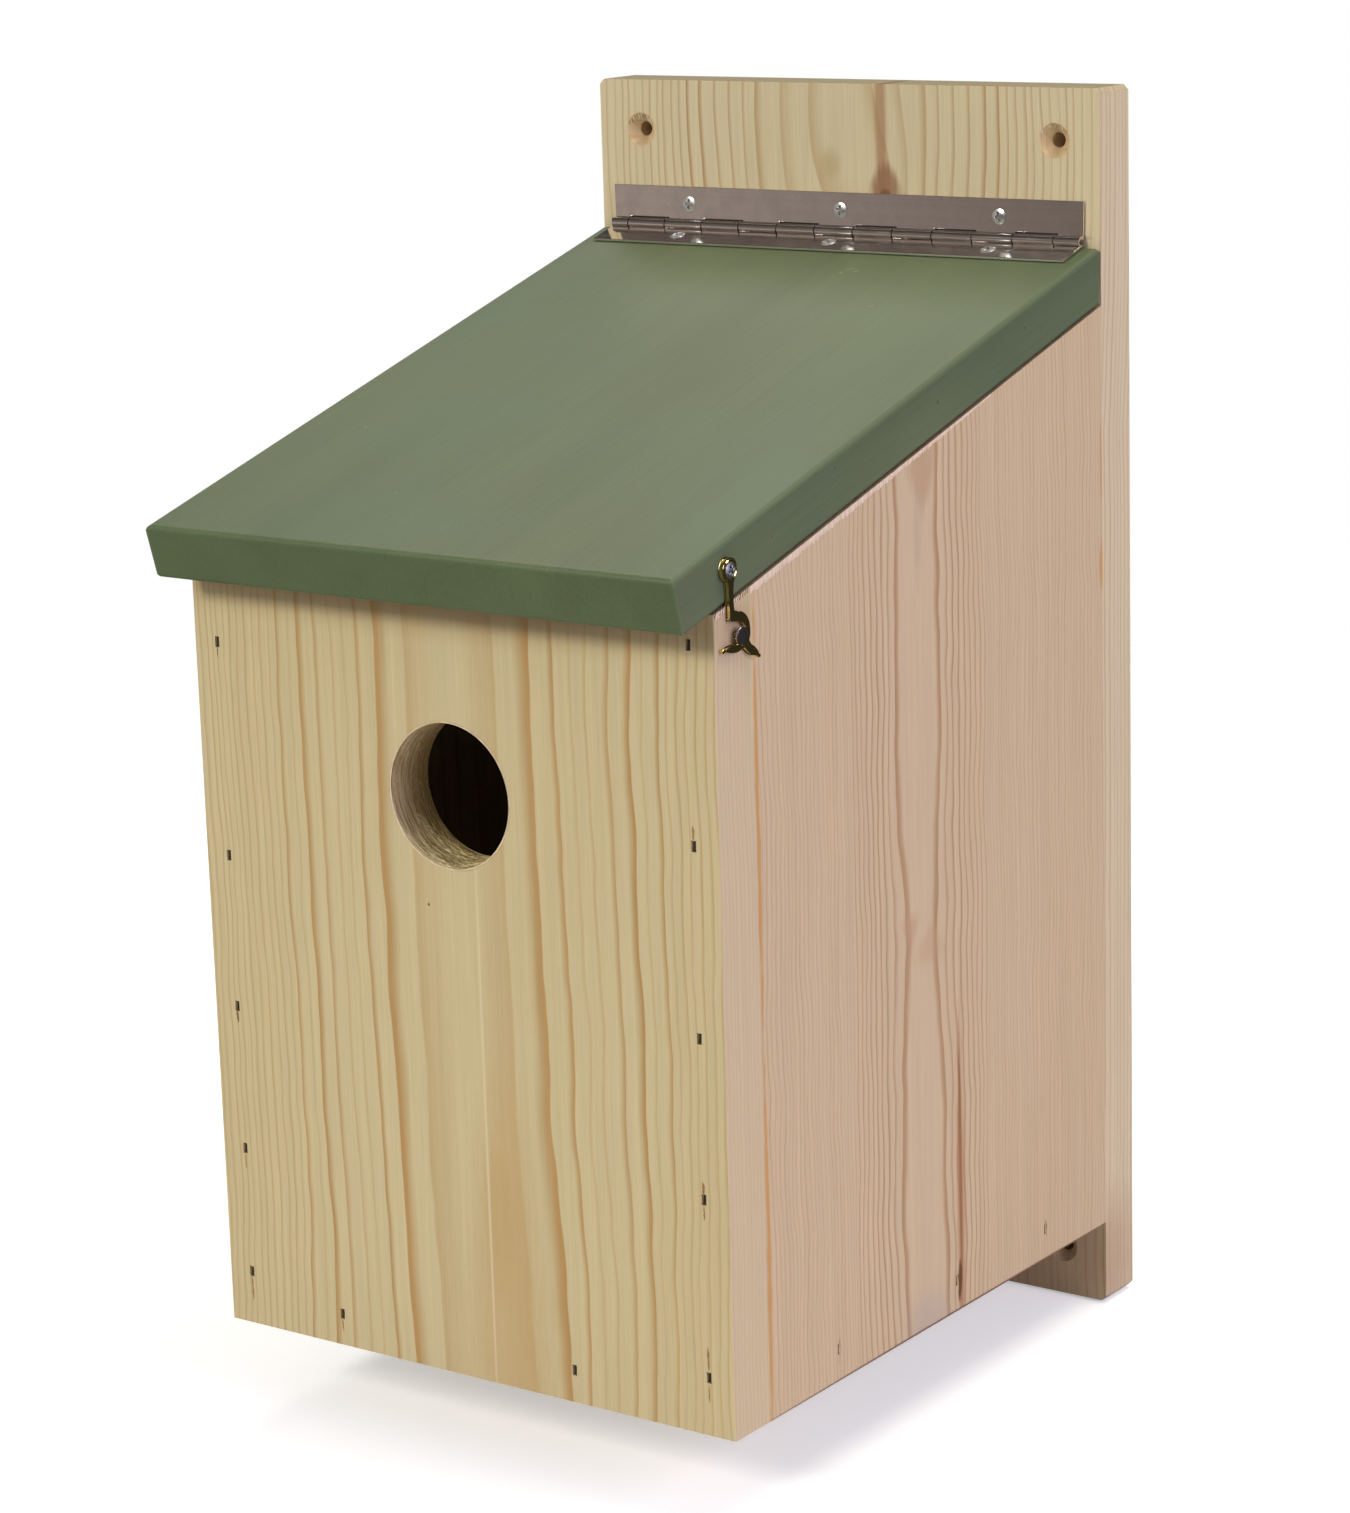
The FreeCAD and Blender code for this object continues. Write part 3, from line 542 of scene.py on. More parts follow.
FRONT_MARKS = [
    mark((5.6, 40.0), (9.0, 54.0), (0.515, 0.355, 0.155), 0.60, -0.45, 0.9, 0.6),
    mark((3.6, 57.0), (3.6, 15.0), (0.500, 0.315, 0.125), 0.40, 0.0, 0.8, 0.7),
    mark((1.2, 80.0), (0.35, 75.0), (0.68, 0.57, 0.36), 0.7, 0.0, 0.1, 0.4),
    mark((-12.0, 126.8), (0.28, 0.35), (0.10, 0.05, 0.03), 0.9, 0.0, 0.0, 0.3),
    # Painted shadow of the roof overhang: a brown band across the top of the front panel, just under the roof.
    mark((-3.4, 194.0), (90.0, 5.6), (0.26, 0.155, 0.055), 0.72, 0.0, 0.0, 0.9),
    # Painted light: the front panel's right edge tinted pink, the cast of the light from the right.
    mark((64.9, 100.0), (0.35, 140.0), (0.62, 0.46, 0.33), 0.45, 0.0, 0.0, 0.1),
]
SIDE_MARKS = [
    mark((2.8, 214.0), (4.6, 8.0), (0.44, 0.270, 0.150), 0.60, 0.55, 0.9, 0.5),
    mark((0.6, 200.0), (1.6, 9.0), (0.45, 0.345, 0.245), 0.45, 0.4, 0.9, 0.7),
    mark((-4.5, 114.0), (2.6, 3.2), (0.50, 0.315, 0.175), 0.6, 0.5, 0.8, 0.6),
    mark((3.5, 109.0), (4.4, 4.0), (0.50, 0.32, 0.18), 0.5, -0.5, 0.8, 0.6),
    mark((14.8, 52.0), (0.62, 32.0), (0.22, 0.090, 0.035), 0.95, 0.0, 0.5, 0.35),
    mark((14.8, 44.0), (1.5, 36.0), (0.42, 0.20, 0.085), 0.65, 0.0, 0.8, 0.6),
    mark((14.0, 27.0), (0.8, 5.0), (0.13, 0.050, 0.022), 0.9, 0.0, 1.6, 0.3),
    mark((-62.3, 150.0), (0.62, 46.0), ORANGE, 0.95, 0.0, 2.0, 0.4),
    mark((-62.3, 72.0), (0.60, 26.0), ORANGE, 0.9, 0.0, 2.0, 0.4),
    mark((-62.4, 42.0), (0.65, 24.0), ORANGE, 0.9, 0.0, 2.0, 0.4),
    mark((80.2, 181.0), (0.7, 6.0), ORANGE, 0.9, 0.0, 1.2, 0.4),
    mark((80.2, 205.0), (0.5, 10.0), ORANGE, 0.6, 0.0, 1.5, 0.4),
    mark((0.0, 22.0), (8.0, 6.0), (0.42, 0.36, 0.32), 0.45, 0.0, 0.9, 0.7),
    # A thin dark line along the bottom edge of the side panel.
    mark((9.0, 19.7), (95.0, 0.75), (0.16, 0.07, 0.04), 0.9, 0.0, 0.0, 0.25),
]
BACK_MARKS = [
    mark((-58.0, 278.0), (4.1, 4.1), RESIN, 0.55, 0.0, 0.3, 0.2),
    mark((58.0, 278.0), (4.1, 4.1), RESIN, 0.55, 0.0, 0.3, 0.2),
    # Painted shade low on the back board: a darker, redder patch at its bottom right.
    mark((48.0, 10.0), (34.0, 16.0), (0.40, 0.21, 0.11), 0.55, 0.0, 0.6, 0.6),
    # The back board's right edge painted darker and pinker: painted shade with the pink cast of the light from the
    # right.
    mark((70.0, 145.0), (0.30, 220.0), (0.50, 0.36, 0.28), 0.25, 0.0, 0.0, 0.1),
    mark((11.2, 283.0), (1.5, 24.0), (0.40, 0.215, 0.105), 0.75, 0.0, 0.7, 0.5),
    mark((12.2, 266.5), (3.6, 5.2), (0.30, 0.150, 0.070), 0.85, -0.35, 0.9, 0.4),
    mark((12.2, 264.0), (1.5, 1.7), (0.20, 0.085, 0.045), 0.8, 0.0, 0.5, 0.3),
    mark((-3.0, 271.0), (2.6, 3.2), (0.52, 0.385, 0.20), 0.7, 0.0, 0.6, 0.7),
    # Painted shade behind the hinge: a near-black band on the back board's face, seen through the leaf's notches.
    mark((0.0, 256.2), (65.5, 2.2), (0.075, 0.060, 0.050), 0.95, 0.0, 0.0, 0.06, SKIN_DEEP),
]
QUARTER = math.pi / 2

woods = {
    "front_panel": pine("front_pine", (0.0052, -0.170, BASE), (0, 0, 0), fill_rings(FRONT_RINGS, 1.9, 3),
                        BUTTER, FRONT_MARKS, Heart_Depth=90.0, Sway=3.0, Ripple=0.9, Drift=0.030, Seed=4.0),
    "back_board": pine("back_pine", (0.0, -0.013, BASE), (0, 0, 0), fill_rings(BACK_RINGS, 2.1, 5),
                       STRAW, BACK_MARKS, Heart_Depth=80.0, Sway=2.0, Ripple=0.45, Swell=0.36,
                       Swell_Height=284.0, Knot=(12.2, 0.0, 266.0), Knot_Size=7.0, Knot_Pull=-7.0, Seed=21.0),
    "right_side_panel": pine("side_pine", (0.070, -0.0938, BASE), (0, 0, QUARTER),
                             fill_rings(SIDE_RINGS, 1.45, 7, 0.42), SALMON, SIDE_MARKS, 0.32,
                             Heart_Depth=70.0, Sway=1.8, Ripple=1.35, Knot=(0.0, 0.0, 111.0),
                             Knot_Size=11.0, Knot_Pull=3.6, Seed=37.0),
    "left_side_panel": pine("left_side_pine", (-0.070, -0.082, BASE), (0, 0, -QUARTER),
                            fill_rings(SIDE_RINGS[2:], 1.7, 9, 0.4), SALMON, (), 0.3,
                            Heart_Depth=70.0, Sway=1.6, Ripple=0.45, Seed=53.0),
    "floor_panel": pine("floor_pine", (0.010, -0.085, -0.125), (-QUARTER, 0, 0),
                        fill_rings(BACK_RINGS, 2.3, 11), BUTTER, end_axis=1,
                        Heart_Depth=60.0, Sway=2.0, Ripple=0.5, Seed=71.0),
}


def dress(name, material):
    """Give a CAD node its finish."""
    mesh = frame["nodes"][name].data
    mesh.materials.clear()
    mesh.materials.append(material)


for name, wood in woods.items():
    dress(name, wood)
print("boards dressed:", len(woods))

# %% [markdown]
# ## Roof paint
#
# The roof board is brushed with a satin sage green.  Brush hairs leave fine furrows along the
# slope, the film thins on the arrises, and it pools into slightly darker patches.  The arrises are
# painted lighter, partly as worn thin film and partly as a painted highlight.  The side faces get
# painted light and the front face painted shade, as lit and shaded copies of the same green.  Edge
# wear and highlight is a group of its own, because the metal parts use it too: it compares the
# true normal with one that is rounded over a small radius, and they differ only near an edge.

# %% Edge wear and highlight group


def make_wear_and_highlight_group():
    net, given, gives = start_group(
        "edge wear", {"Place": (0.0, 0.0, 0.0), "Radius": 0.001, "Patchy": 0.3}, ["Mask"])
    # This mask finds edges; where it lightens a colour it is partly wear and partly a painted highlight.
    rounded = net.add("ShaderNodeBevel", {"Radius": given["Radius"]}, samples=4)
    turn = 1.0 - net.vector("DOT_PRODUCT", rounded, net.normal())
    worn = net.between(net.noise(given["Place"], 160.0, 3.0), 0.30, 0.60) * given["Patchy"]
    net.feed(gives["Mask"], net.between(turn, 0.015, 0.16) * (1.0 - given["Patchy"] + worn))
    return net.tree


wear_and_highlight_group = make_wear_and_highlight_group()
print("wear nodes:", len(wear_and_highlight_group.nodes))

# %% Paint material
SLOPE = math.radians(15.6)
# Tints for painted light on the roof's side faces and painted shade on its front face.
SIDE_PAINTED_LIGHT, FRONT_PAINTED_SHADE = (1.15, 1.11, 1.20), (0.86, 0.96, 0.84)


def satin_paint():
    """Brushed sage paint over a planed board, with painted light on its sides, painted shade on its front and arrises
    lighter from wear and a painted highlight.
    """
    net = Finish("sage_paint")
    slope = net.add("ShaderNodeMapping", {"Vector": net.body, "Rotation": (-SLOPE, 0, 0)})
    hairs = net.noise(slope, (1900.0, 22.0, 1300.0), 3.0, 0.6)
    laps = net.noise(slope, (60.0, 7.0, 60.0), 2.0)
    patches = net.noise(net.body, 16.0, 3.0)
    grit = net.noise(net.body, 2600.0, 1.0)
    color = net.blend(net.between(patches, 0.35, 0.7), (0.093, 0.128, 0.061), (0.112, 0.137, 0.066))
    color = net.vector("SCALE", color, net.between(laps, 0.3, 0.7, 0.93, 1.07))
    color = net.vector("SCALE", color, net.between(hairs, 0.3, 0.7, 0.94, 1.06))
    # Painted light and shade: the same green is made lighter on the side faces and darker on the front face.
    sideways, inward, up = net.split(net.normal())
    sides = net.between(net.math("ABSOLUTE", sideways), 0.5, 0.9)
    color = net.blend(sides, color, net.vector("MULTIPLY", color, SIDE_PAINTED_LIGHT))
    color = net.blend(net.between(inward * -1.0, 0.5, 0.9), color, net.vector("MULTIPLY", color, FRONT_PAINTED_SHADE))
    color = net.blend(net.between(grit, 0.72, 0.80, 0.0, 0.25), color, (0.30, 0.36, 0.24))
    # Arrises painted lighter: partly thin worn film, partly a painted highlight.
    wear_and_highlight = net.group(wear_and_highlight_group, Place=net.body, Radius=1.6 * MM, Patchy=0.35)["Mask"]
    color = net.blend(wear_and_highlight * 0.22, color, (0.19, 0.25, 0.14))
    net.feed(net.shader["Specular IOR Level"], 0.42)
    height = hairs * 0.7 + patches * 0.6 + grit * 0.12
    return net.coat(color, net.between(patches, 0.3, 0.7, 0.42, 0.52), height, 0.30, 0.25 * MM)


dress("roof_panel", satin_paint())
print("painted:", "roof_panel")

# %% [markdown]
# ## Metals
#
# The hinge is bright nickel plate, the hook lacquered brass, the screws zinc and the brads dark
# steel.  All are one recipe with other numbers: a metal colour, faint rolling lines, smudges
# that dull the mirror in patches, and edges painted brighter, partly rubbed wear and partly a
# painted highlight.  Screw recesses get painted shade.

# %% Metal recipe
ROLLED_LINES = (0.0, 900.0, 900.0)
RECESS_SHADE = (0.035, 0.045, 0.045)


def metal(name, color, edge, roughness, smudge, stain=None, sunk=False, rubbed=0.0):
    """Plated or bare metal with smudges, rolling lines, edges brighter from rubbed wear and a painted highlight, and
    painted shade in a sunk recess.
    """
    net = Finish(name)
    cloud = net.noise(net.body, 240.0, 3.0)
    rolled = net.noise(net.body, ROLLED_LINES, 2.0)
    wear_and_highlight = net.group(wear_and_highlight_group, Place=net.body, Radius=0.25 * MM, Patchy=0.4)["Mask"]
    stain = stain or tuple(0.8 * part for part in color)
    tone = net.blend(net.between(cloud, 0.4, 0.75, 0.0, 0.5), color, stain)
    tone = net.vector("SCALE", tone, net.between(rolled, 0.3, 0.7, 0.98, 1.02))
    # Edges take a brighter colour: partly rubbed wear, partly a painted highlight.
    tone = net.blend(wear_and_highlight * 0.8, tone, edge)
    if sunk:
        # Painted shade in the screw recess: the deeper a point sits, the darker the zinc.
        tone = net.blend(net.add("ShaderNodeAttribute", out="Fac", attribute_name="sunk"), tone, RECESS_SHADE)
    net.feed(net.shader["Metallic"], 1.0)
    rough = net.math("MAXIMUM", net.between(cloud, 0.35, 0.75, roughness, roughness + smudge), wear_and_highlight * rubbed)
    return net.coat(tone, rough, rolled + cloud * 2.0, 0.06, 0.1 * MM)


nickel = metal("hinge_nickel", (0.90, 0.84, 0.80), (1.0, 0.98, 0.95), 0.09, 0.08)
zinc = metal("screw_zinc", (0.74, 0.78, 0.79), (1.0, 1.0, 1.0), 0.30, 0.16, sunk=True)
brass = metal("hook_brass", (0.88, 0.72, 0.28), (1.0, 0.92, 0.55), 0.10, 0.10, (0.72, 0.55, 0.18), rubbed=0.08)
peg_metal = metal("peg_nickel", (0.50, 0.43, 0.42), (0.85, 0.80, 0.78), 0.22, 0.15)
steel = metal("brad_steel", (0.16, 0.17, 0.16), (0.40, 0.41, 0.40), 0.35, 0.25, (0.10, 0.085, 0.06))
# The hinge pin is painted dark so that the gaps between the knuckles read as shade: a steel pin with painted shade.
pin_painted_shade_steel = metal("hinge_pin_steel", (0.20, 0.18, 0.17), (0.30, 0.27, 0.25), 0.4, 0.2)
dress("hinge_pin", pin_painted_shade_steel)
print("metals:", [m.name for m in (nickel, zinc, brass, peg_metal, steel, pin_painted_shade_steel)])

# %% [markdown]
# ## Copies on points
#
# Screws, brads, knuckles, saw marks and fibres all repeat.  One Geometry Nodes tree sets copies
# of a template on the points of a carrier mesh.  Each point says how its copy is turned and
# stretched; the tree adds a little seeded difference in size, makes the copies real and gives
# them their material.  The result becomes a plain mesh, because an export can't carry instances.

# %% Copy tree


def make_copy_tree():
    tree = bpy.data.node_groups.new("copies on points", "GeometryNodeTree")
    for label, kind in (("Points", "Geometry"), ("Template", "Object"), ("Size Spread", "Float"),
                        ("Seed", "Int"), ("Finish", "Material")):
        tree.interface.new_socket(label, in_out="INPUT", socket_type=f"NodeSocket{kind}")
    tree.interface.new_socket("Copies", in_out="OUTPUT", socket_type="NodeSocketGeometry")
    net = Net(tree)
    given = net.named(net.node("NodeGroupInput").outputs)
    template = net.add("GeometryNodeObjectInfo", {"Object": given["Template"]}, "Geometry")
    turn, size = (net.add("GeometryNodeInputNamedAttribute", {"Name": name}, "Attribute", data_type="FLOAT_VECTOR")
                  for name in ("turn", "size"))
    spread = net.node("FunctionNodeRandomValue", {"Seed": given["Seed"]}, data_type="FLOAT")
    low, high = [socket for socket in spread.inputs if socket.type == "VALUE"][:2]
    net.feed(low, 1.0 - given["Size Spread"])
    net.feed(high, 1.0 + given["Size Spread"])
    chance = Wire(net, next(socket for socket in spread.outputs if socket.type == "VALUE"))
    scale = net.vector("SCALE", size, chance)
    rotation = net.add("FunctionNodeEulerToRotation", {"Euler": turn})
    copies = net.add("GeometryNodeInstanceOnPoints", {"Points": given["Points"], "Instance": template,
                                                      "Rotation": rotation, "Scale": scale})
    real = net.add("GeometryNodeRealizeInstances", {"Geometry": copies})
    finished = net.add("GeometryNodeSetMaterial", {"Geometry": real, "Material": given["Finish"]})
    net.node("NodeGroupOutput", [finished])
    return tree


copy_tree = make_copy_tree()
print("copy tree nodes:", len(copy_tree.nodes))

# %% Run the tree
WIDE_FLAT = 6.0 * MM * MM


def settled_mesh(thing, name):
    """The evaluated mesh of an object, as a plain mesh; the object is taken away."""
    bpy.context.view_layer.update()
    graph = bpy.context.evaluated_depsgraph_get()
    mesh = bpy.data.meshes.new_from_object(thing.evaluated_get(graph), depsgraph=graph)
    mesh.name = name
    bpy.data.objects.remove(thing)
    return mesh


def set_copies(name, template, points, finish, spread=0.0, seed=1):
    """Copies of a template mesh at (place, turn, size) points, as one plain mesh."""
    carrier = bpy.data.meshes.new(name + "_points")
    carrier.from_pydata([place for place, turn, size in points], [], [])
    for label, index in (("turn", 1), ("size", 2)):
        values = carrier.attributes.new(label, "FLOAT_VECTOR", "POINT").data
        for value, point in zip(values, points):
            value.vector = point[index]
    pattern = new_object(name + "_template", template)
    holder = new_object(name + "_holder", carrier)
    modifier = holder.modifiers.new("copies", "NODES")
    modifier.node_group = copy_tree
    wanted = {"Template": pattern, "Size Spread": spread, "Seed": seed, "Finish": finish}
    for item in copy_tree.interface.items_tree:
        if item.in_out == "INPUT" and item.name in wanted:
            modifier[item.identifier] = wanted[item.name]
    mesh = settled_mesh(holder, name)
    for label in ("turn", "size"):
        if label in mesh.attributes:
            mesh.attributes.remove(mesh.attributes[label])
    bpy.data.objects.remove(pattern)
    return mesh


def smooth_by_angle(mesh, degrees):
    """Soft shading except across sharp edges and on wide flats."""
    solid = bmesh.new()
    solid.from_mesh(mesh)
    for face in solid.faces:
        face.smooth = len(face.verts) <= 4 and face.calc_area() < WIDE_FLAT
    for edge in solid.edges:
        edge.smooth = edge.is_manifold and edge.calc_face_angle(0.0) < math.radians(degrees)
    solid.to_mesh(mesh)
    solid.free()


def finish_piece(name, mesh, body, stands_for=(), smooth=35.0):
    """Shade a piece, put it in the scene under its body, and hide the CAD nodes it stands for."""
    if smooth:
        smooth_by_angle(mesh, smooth)
    piece = new_object(name, mesh)
    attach(piece, body)
    if stands_for:
        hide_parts(*stands_for)
    print(name, "faces:", len(mesh.polygons))


def copy_piece(name, template, points, finish, body, spread=0.0, seed=1, stands_for=(), smooth=35.0):
    """Copies of a template as one finished piece."""
    finish_piece(name, set_copies(name, template, points, finish, spread, seed), body, stands_for, smooth)


def to_mesh(name, solid, finish=None):
    """Close a bmesh into a named mesh with outward faces."""
    bmesh.ops.recalc_face_normals(solid, faces=solid.faces)
    mesh = bpy.data.meshes.new(name)
    solid.to_mesh(mesh)
    solid.free()
    if finish:
        mesh.materials.append(finish)
    return mesh


def bevelled(mesh, width, segments, angle):
    """Round a mesh's sharp edges with a live bevel, then settle it."""
    thing = new_object(mesh.name + "_sharp", mesh)
    modifier = thing.modifiers.new("bevel", "BEVEL")
    modifier.width, modifier.segments = width, segments
    modifier.limit_method = "ANGLE"
    modifier.angle_limit = math.radians(angle)
    return settled_mesh(thing, mesh.name)


def ring_of(solid, points):
    """Verts at some points, as a list."""
    return [solid.verts.new(point) for point in points]


def skin(solid, rings):
    """Quads between each ring of verts and the next, with each ring closed on itself."""
    for first, second in zip(rings, rings[1:]):
        for side in range(len(first)):
            nxt = (side + 1) % len(first)
            solid.faces.new((first[side], first[nxt], second[nxt], second[side]))


def circle(radius, count):
    """Points evenly spaced round a circle."""
    angles = [2 * math.pi * spoke / count for spoke in range(count)]
    return [(radius * math.cos(angle), radius * math.sin(angle)) for angle in angles]


def turned_to(way):
    """The turn that stands +Z along a direction, as three angles."""
    return tuple(way.to_track_quat("Z", "Y").to_euler())


def islands(*names):
    """Low and high corners of each separate solid in some CAD nodes."""
    boxes = []
    for name in names:
        solid = bmesh.new()
        solid.from_mesh(frame["nodes"][name].data)
        bmesh.ops.remove_doubles(solid, verts=solid.verts, dist=2e-6)
        unseen = set(solid.verts)
        while unseen:
            stack, found = [unseen.pop()], []
            while stack:
                vert = stack.pop()
                found.append(vert.co.copy())
                fresh = {edge.other_vert(vert) for edge in vert.link_edges} & unseen
                unseen -= fresh
                stack += fresh
            boxes.append([Vector([pick(point[axis] for point in found) for axis in range(3)])
                          for pick in (min, max)])
        solid.free()
    return sorted(boxes, key=lambda box: tuple(round(part, 5) for part in box[0]))


print("first brads:", len(islands("front_nails_left")))

# %% [markdown]
# ## Brads and the wood they split
#
# A brad gun drives a thin T-headed pin just below the surface.  What is left to see is a dark
# slot, and often a short crack above or below it where the fibres parted.  The side brads were
# filled by a little glue that dried to the colour of straw.  The template brad points along +Y,
# with its head at the origin and its long side upright.

# %% Brad template
HEAD_LONG, HEAD_WIDE, HEAD_DEEP, BRAD_LONG = 2.4 * MM, 1.2 * MM, 0.8 * MM, 28.0 * MM
SHANK_HALF = (0.50 * MM, 0.55 * MM)
POINT_LONG, POINT_SHARE = 3.0 * MM, 0.15


def brad_mesh():
    """A T-headed brad with a driver dent, a square shank and a chisel point."""
    solid = bmesh.new()
    point_start = BRAD_LONG - POINT_LONG
    for half_x, half_z, start, end, tip in ((HEAD_WIDE / 2, HEAD_LONG / 2, 0.0, HEAD_DEEP, 1.0),
                                            (*SHANK_HALF, HEAD_DEEP * 0.9, point_start, 1.0),
                                            (*SHANK_HALF, point_start - 0.1 * MM, BRAD_LONG, POINT_SHARE)):
        rings = [ring_of(solid, [(x * half_x * share, y, z * half_z)
                                 for x, z in ((-1, -1), (1, -1), (1, 1), (-1, 1))])
                 for y, share in ((start, 1.0), (end, tip))]
        solid.faces.new(rings[0])
        solid.faces.new(rings[1][::-1])
        skin(solid, rings)
    front = min(solid.faces, key=lambda face: face.calc_center_median().y)
    bmesh.ops.inset_individual(solid, faces=[front], thickness=0.22 * MM)
    for vert in front.verts:
        vert.co.y += 0.16 * MM
    return bevelled(to_mesh("brad", solid), 0.08 * MM, 1, 50.0)


BRAD_SETS = {"front": ("front_nails_left", "front_nails_right", "front_nails_bottom"),
             "side": ("side_nails_left", "side_nails_right"),
             "back": ("back_nails_left", "back_nails_right", "back_nails_bottom")}


def brad_points():
    """Head place, turn, outward direction and side of every brad, read from the measured ones."""
    points = []
    for side, names in BRAD_SETS.items():
        for low, high in islands(*names):
            place = (low + high) / 2
            if side == "side":
                sign = 1 if place.x > 0 else -1
                place.x = high.x if sign > 0 else low.x
                points.append((place, sign * QUARTER, Vector((sign, 0, 0)), side))
            else:
                sign = -1 if side == "front" else 1
                place.y = high.y if sign > 0 else low.y
                points.append((place, math.pi if sign > 0 else 0.0, Vector((0, sign, 0)), side))
    return points


brads = brad_points()
lean = random.Random(5)
brad_places = [(place, (lean.uniform(-0.02, 0.02), lean.uniform(-0.16, 0.16), turn),
                (lean.uniform(0.5, 0.72), 1, lean.uniform(0.55, 0.85))) for place, turn, outward, side in brads]
copy_piece("brads", brad_mesh(), brad_places, steel, "box", 0.0, 1, sum(BRAD_SETS.values(), ()), 40.0)
print("brads:", len(brads))

# %% Cracks, glue and pits


def grainy(name, low, high, roughness, stretch, relief=0.4):
    """A matt finish that varies between two colours in streaks."""
    net = Finish(name)
    streak = net.noise(net.body, stretch, 3.0, 0.6)
    rough = net.between(streak, 0.3, 0.7, roughness, roughness + 0.15)
    return net.coat(net.blend(net.between(streak, 0.36, 0.64), low, high), rough, streak, relief, 0.2 * MM)


crack_wood = grainy("crack_wood", (0.16, 0.085, 0.028), (0.50, 0.31, 0.11), 0.7, (900.0, 900.0, 260.0))
dried_glue = grainy("dried_glue", (0.34, 0.22, 0.10), (0.60, 0.44, 0.22), 0.45, (900.0, 900.0, 300.0))


def sliver_mesh(seed, rows=9, ragged=0.35):
    """A thin wavy lens one unit long in Z, one wide in X and one thick in Y, closed at its tips."""
    chance = random.Random(seed)
    solid = bmesh.new()
    rings, wave = [], 0.0
    for row in range(1, rows):
        t = row / rows
        wide = 0.5 * math.sin(math.pi * t) ** 0.7 * chance.uniform(1.0 - ragged, 1.0)
        wave += chance.uniform(-0.22, 0.22)
        z = t - 0.5
        rings.append(ring_of(solid, ((wave - wide, 0.0, z), (wave, -0.5, z), (wave + wide, 0.0, z), (wave, 0.5, z))))
    top, bottom = ring_of(solid, ((wave, 0, 0.5), (0, 0, -0.5)))
    skin(solid, rings)
    for side in range(4):
        nxt = (side + 1) % 4
        solid.faces.new((bottom, rings[0][nxt], rings[0][side]))
        solid.faces.new((top, rings[-1][side], rings[-1][nxt]))
    return to_mesh("sliver", solid)


def crack_points(seed):
    """Cracks beside the front brads, glue plugs over the side ones: place, turn and size."""
    chance = random.Random(seed)
    cracks, plugs = [], []
    for place, turn, outward, side in brads:
        seen = outward.x > 0.5 or outward.y < -0.5
        face = place + outward * (0.6 if seen else 0.52) * MM
        spin = (0.0, chance.uniform(-0.06, 0.06), turn)
        if side == "side":
            long = chance.uniform(4.8, 6.2)
            plugs.append((face + Vector((0, 0, -0.4 * MM)), spin, (0.85 * MM, 0.10 * MM, long * MM)))
            cracks.append((face + Vector((0, 0, 0.8 * MM)), spin, (0.35 * MM, 0.12 * MM, 4.0 * MM)))
            continue
        for way in (-1, 1):
            if chance.random() < (0.75 if way < 0 else 0.35):
                long = chance.uniform(2.5, 6.5)
                at = face + Vector((0, 0, way * (long / 2 + 0.9) * MM))
                cracks.append((at, spin, (chance.uniform(0.45, 0.8) * MM, 0.10 * MM, long * MM)))
    return cracks, plugs


cracks, plugs = crack_points(11)
copy_piece("brad_cracks", sliver_mesh(3), cracks, crack_wood, "box", 0.2, 4)
copy_piece("glue_plugs", sliver_mesh(8, 8, 0.2), plugs, dried_glue, "box", 0.1, 5)
print("cracks:", len(cracks), "plugs:", len(plugs))

# %% [markdown]
# ## Screws
#
# The hinge is held by small domed screws with a crossed recess.  The head is a height field on
# rings and spokes: a dome, less a cross whose arms deepen towards the middle, less four fine
# ticks between the arms.  It closes with a flat underside and a short shank in the wood.

# %% Screw template
ARM_REACH, ARM_HALF, ARM_WALL = 0.66, 0.20, 0.05
RINGS, SPOKES = 22, 64


def within(value):
    return max(0.0, min(1.0, value))


def screw_mesh(head_radius, dome, recess):
    """A domed screw head facing +Z with its seat at the origin, and a short shank below."""
    solid = bmesh.new()

    def dome_height(x, y):
        return dome * (1.0 - (math.hypot(x, y) / head_radius) ** 2.2) + 0.25 * dome

    def surface(x, y):
        radius = math.hypot(x, y) / head_radius
        height = dome_height(x, y)
        for along, aside in ((abs(x), abs(y)), (abs(y), abs(x))):
            share = along / (ARM_REACH * head_radius)
            wall = ARM_HALF * head_radius * (1.1 - 0.35 * share)
            inside = within((wall - aside) / (ARM_WALL * head_radius))
            reach = within((1.0 - share) / 0.10)
            height = min(height, height - inside * reach * recess * (1.0 - 0.55 * share))
        if abs(abs(x) - abs(y)) / head_radius < 0.03 and 0.32 < radius < 0.62:
            height -= 0.07 * recess
        return height

    levels = [ring_of(solid, [(x, y, surface(x, y)) for x, y in circle(head_radius * (ring / RINGS) ** 0.85, SPOKES)])
              for ring in range(1, RINGS + 1)]
    centre = solid.verts.new((0, 0, surface(0, 0)))
    for spoke in range(SPOKES):
        solid.faces.new((centre, levels[0][spoke], levels[0][(spoke + 1) % SPOKES]))
    for radius, height in ((head_radius, 0.0), (0.5 * head_radius, 0.0), (0.5 * head_radius, -1.5 * MM)):
        levels.append(ring_of(solid, [(x, y, height) for x, y in circle(radius, SPOKES)]))
    skin(solid, levels)
    solid.faces.new(levels[-1])
    mesh = to_mesh("screw", solid)
    # How deep each point sits in the recess, kept for the painted shade of the zinc finish.
    shade = mesh.attributes.new("sunk", "FLOAT", "POINT")
    for value, vert in zip(shade.data, mesh.vertices):
        x, y, z = vert.co
        in_recess = math.hypot(x, y) / head_radius < 0.72
        value.value = within((dome_height(x, y) - z) / (0.35 * recess)) if in_recess else 0.0
    return mesh


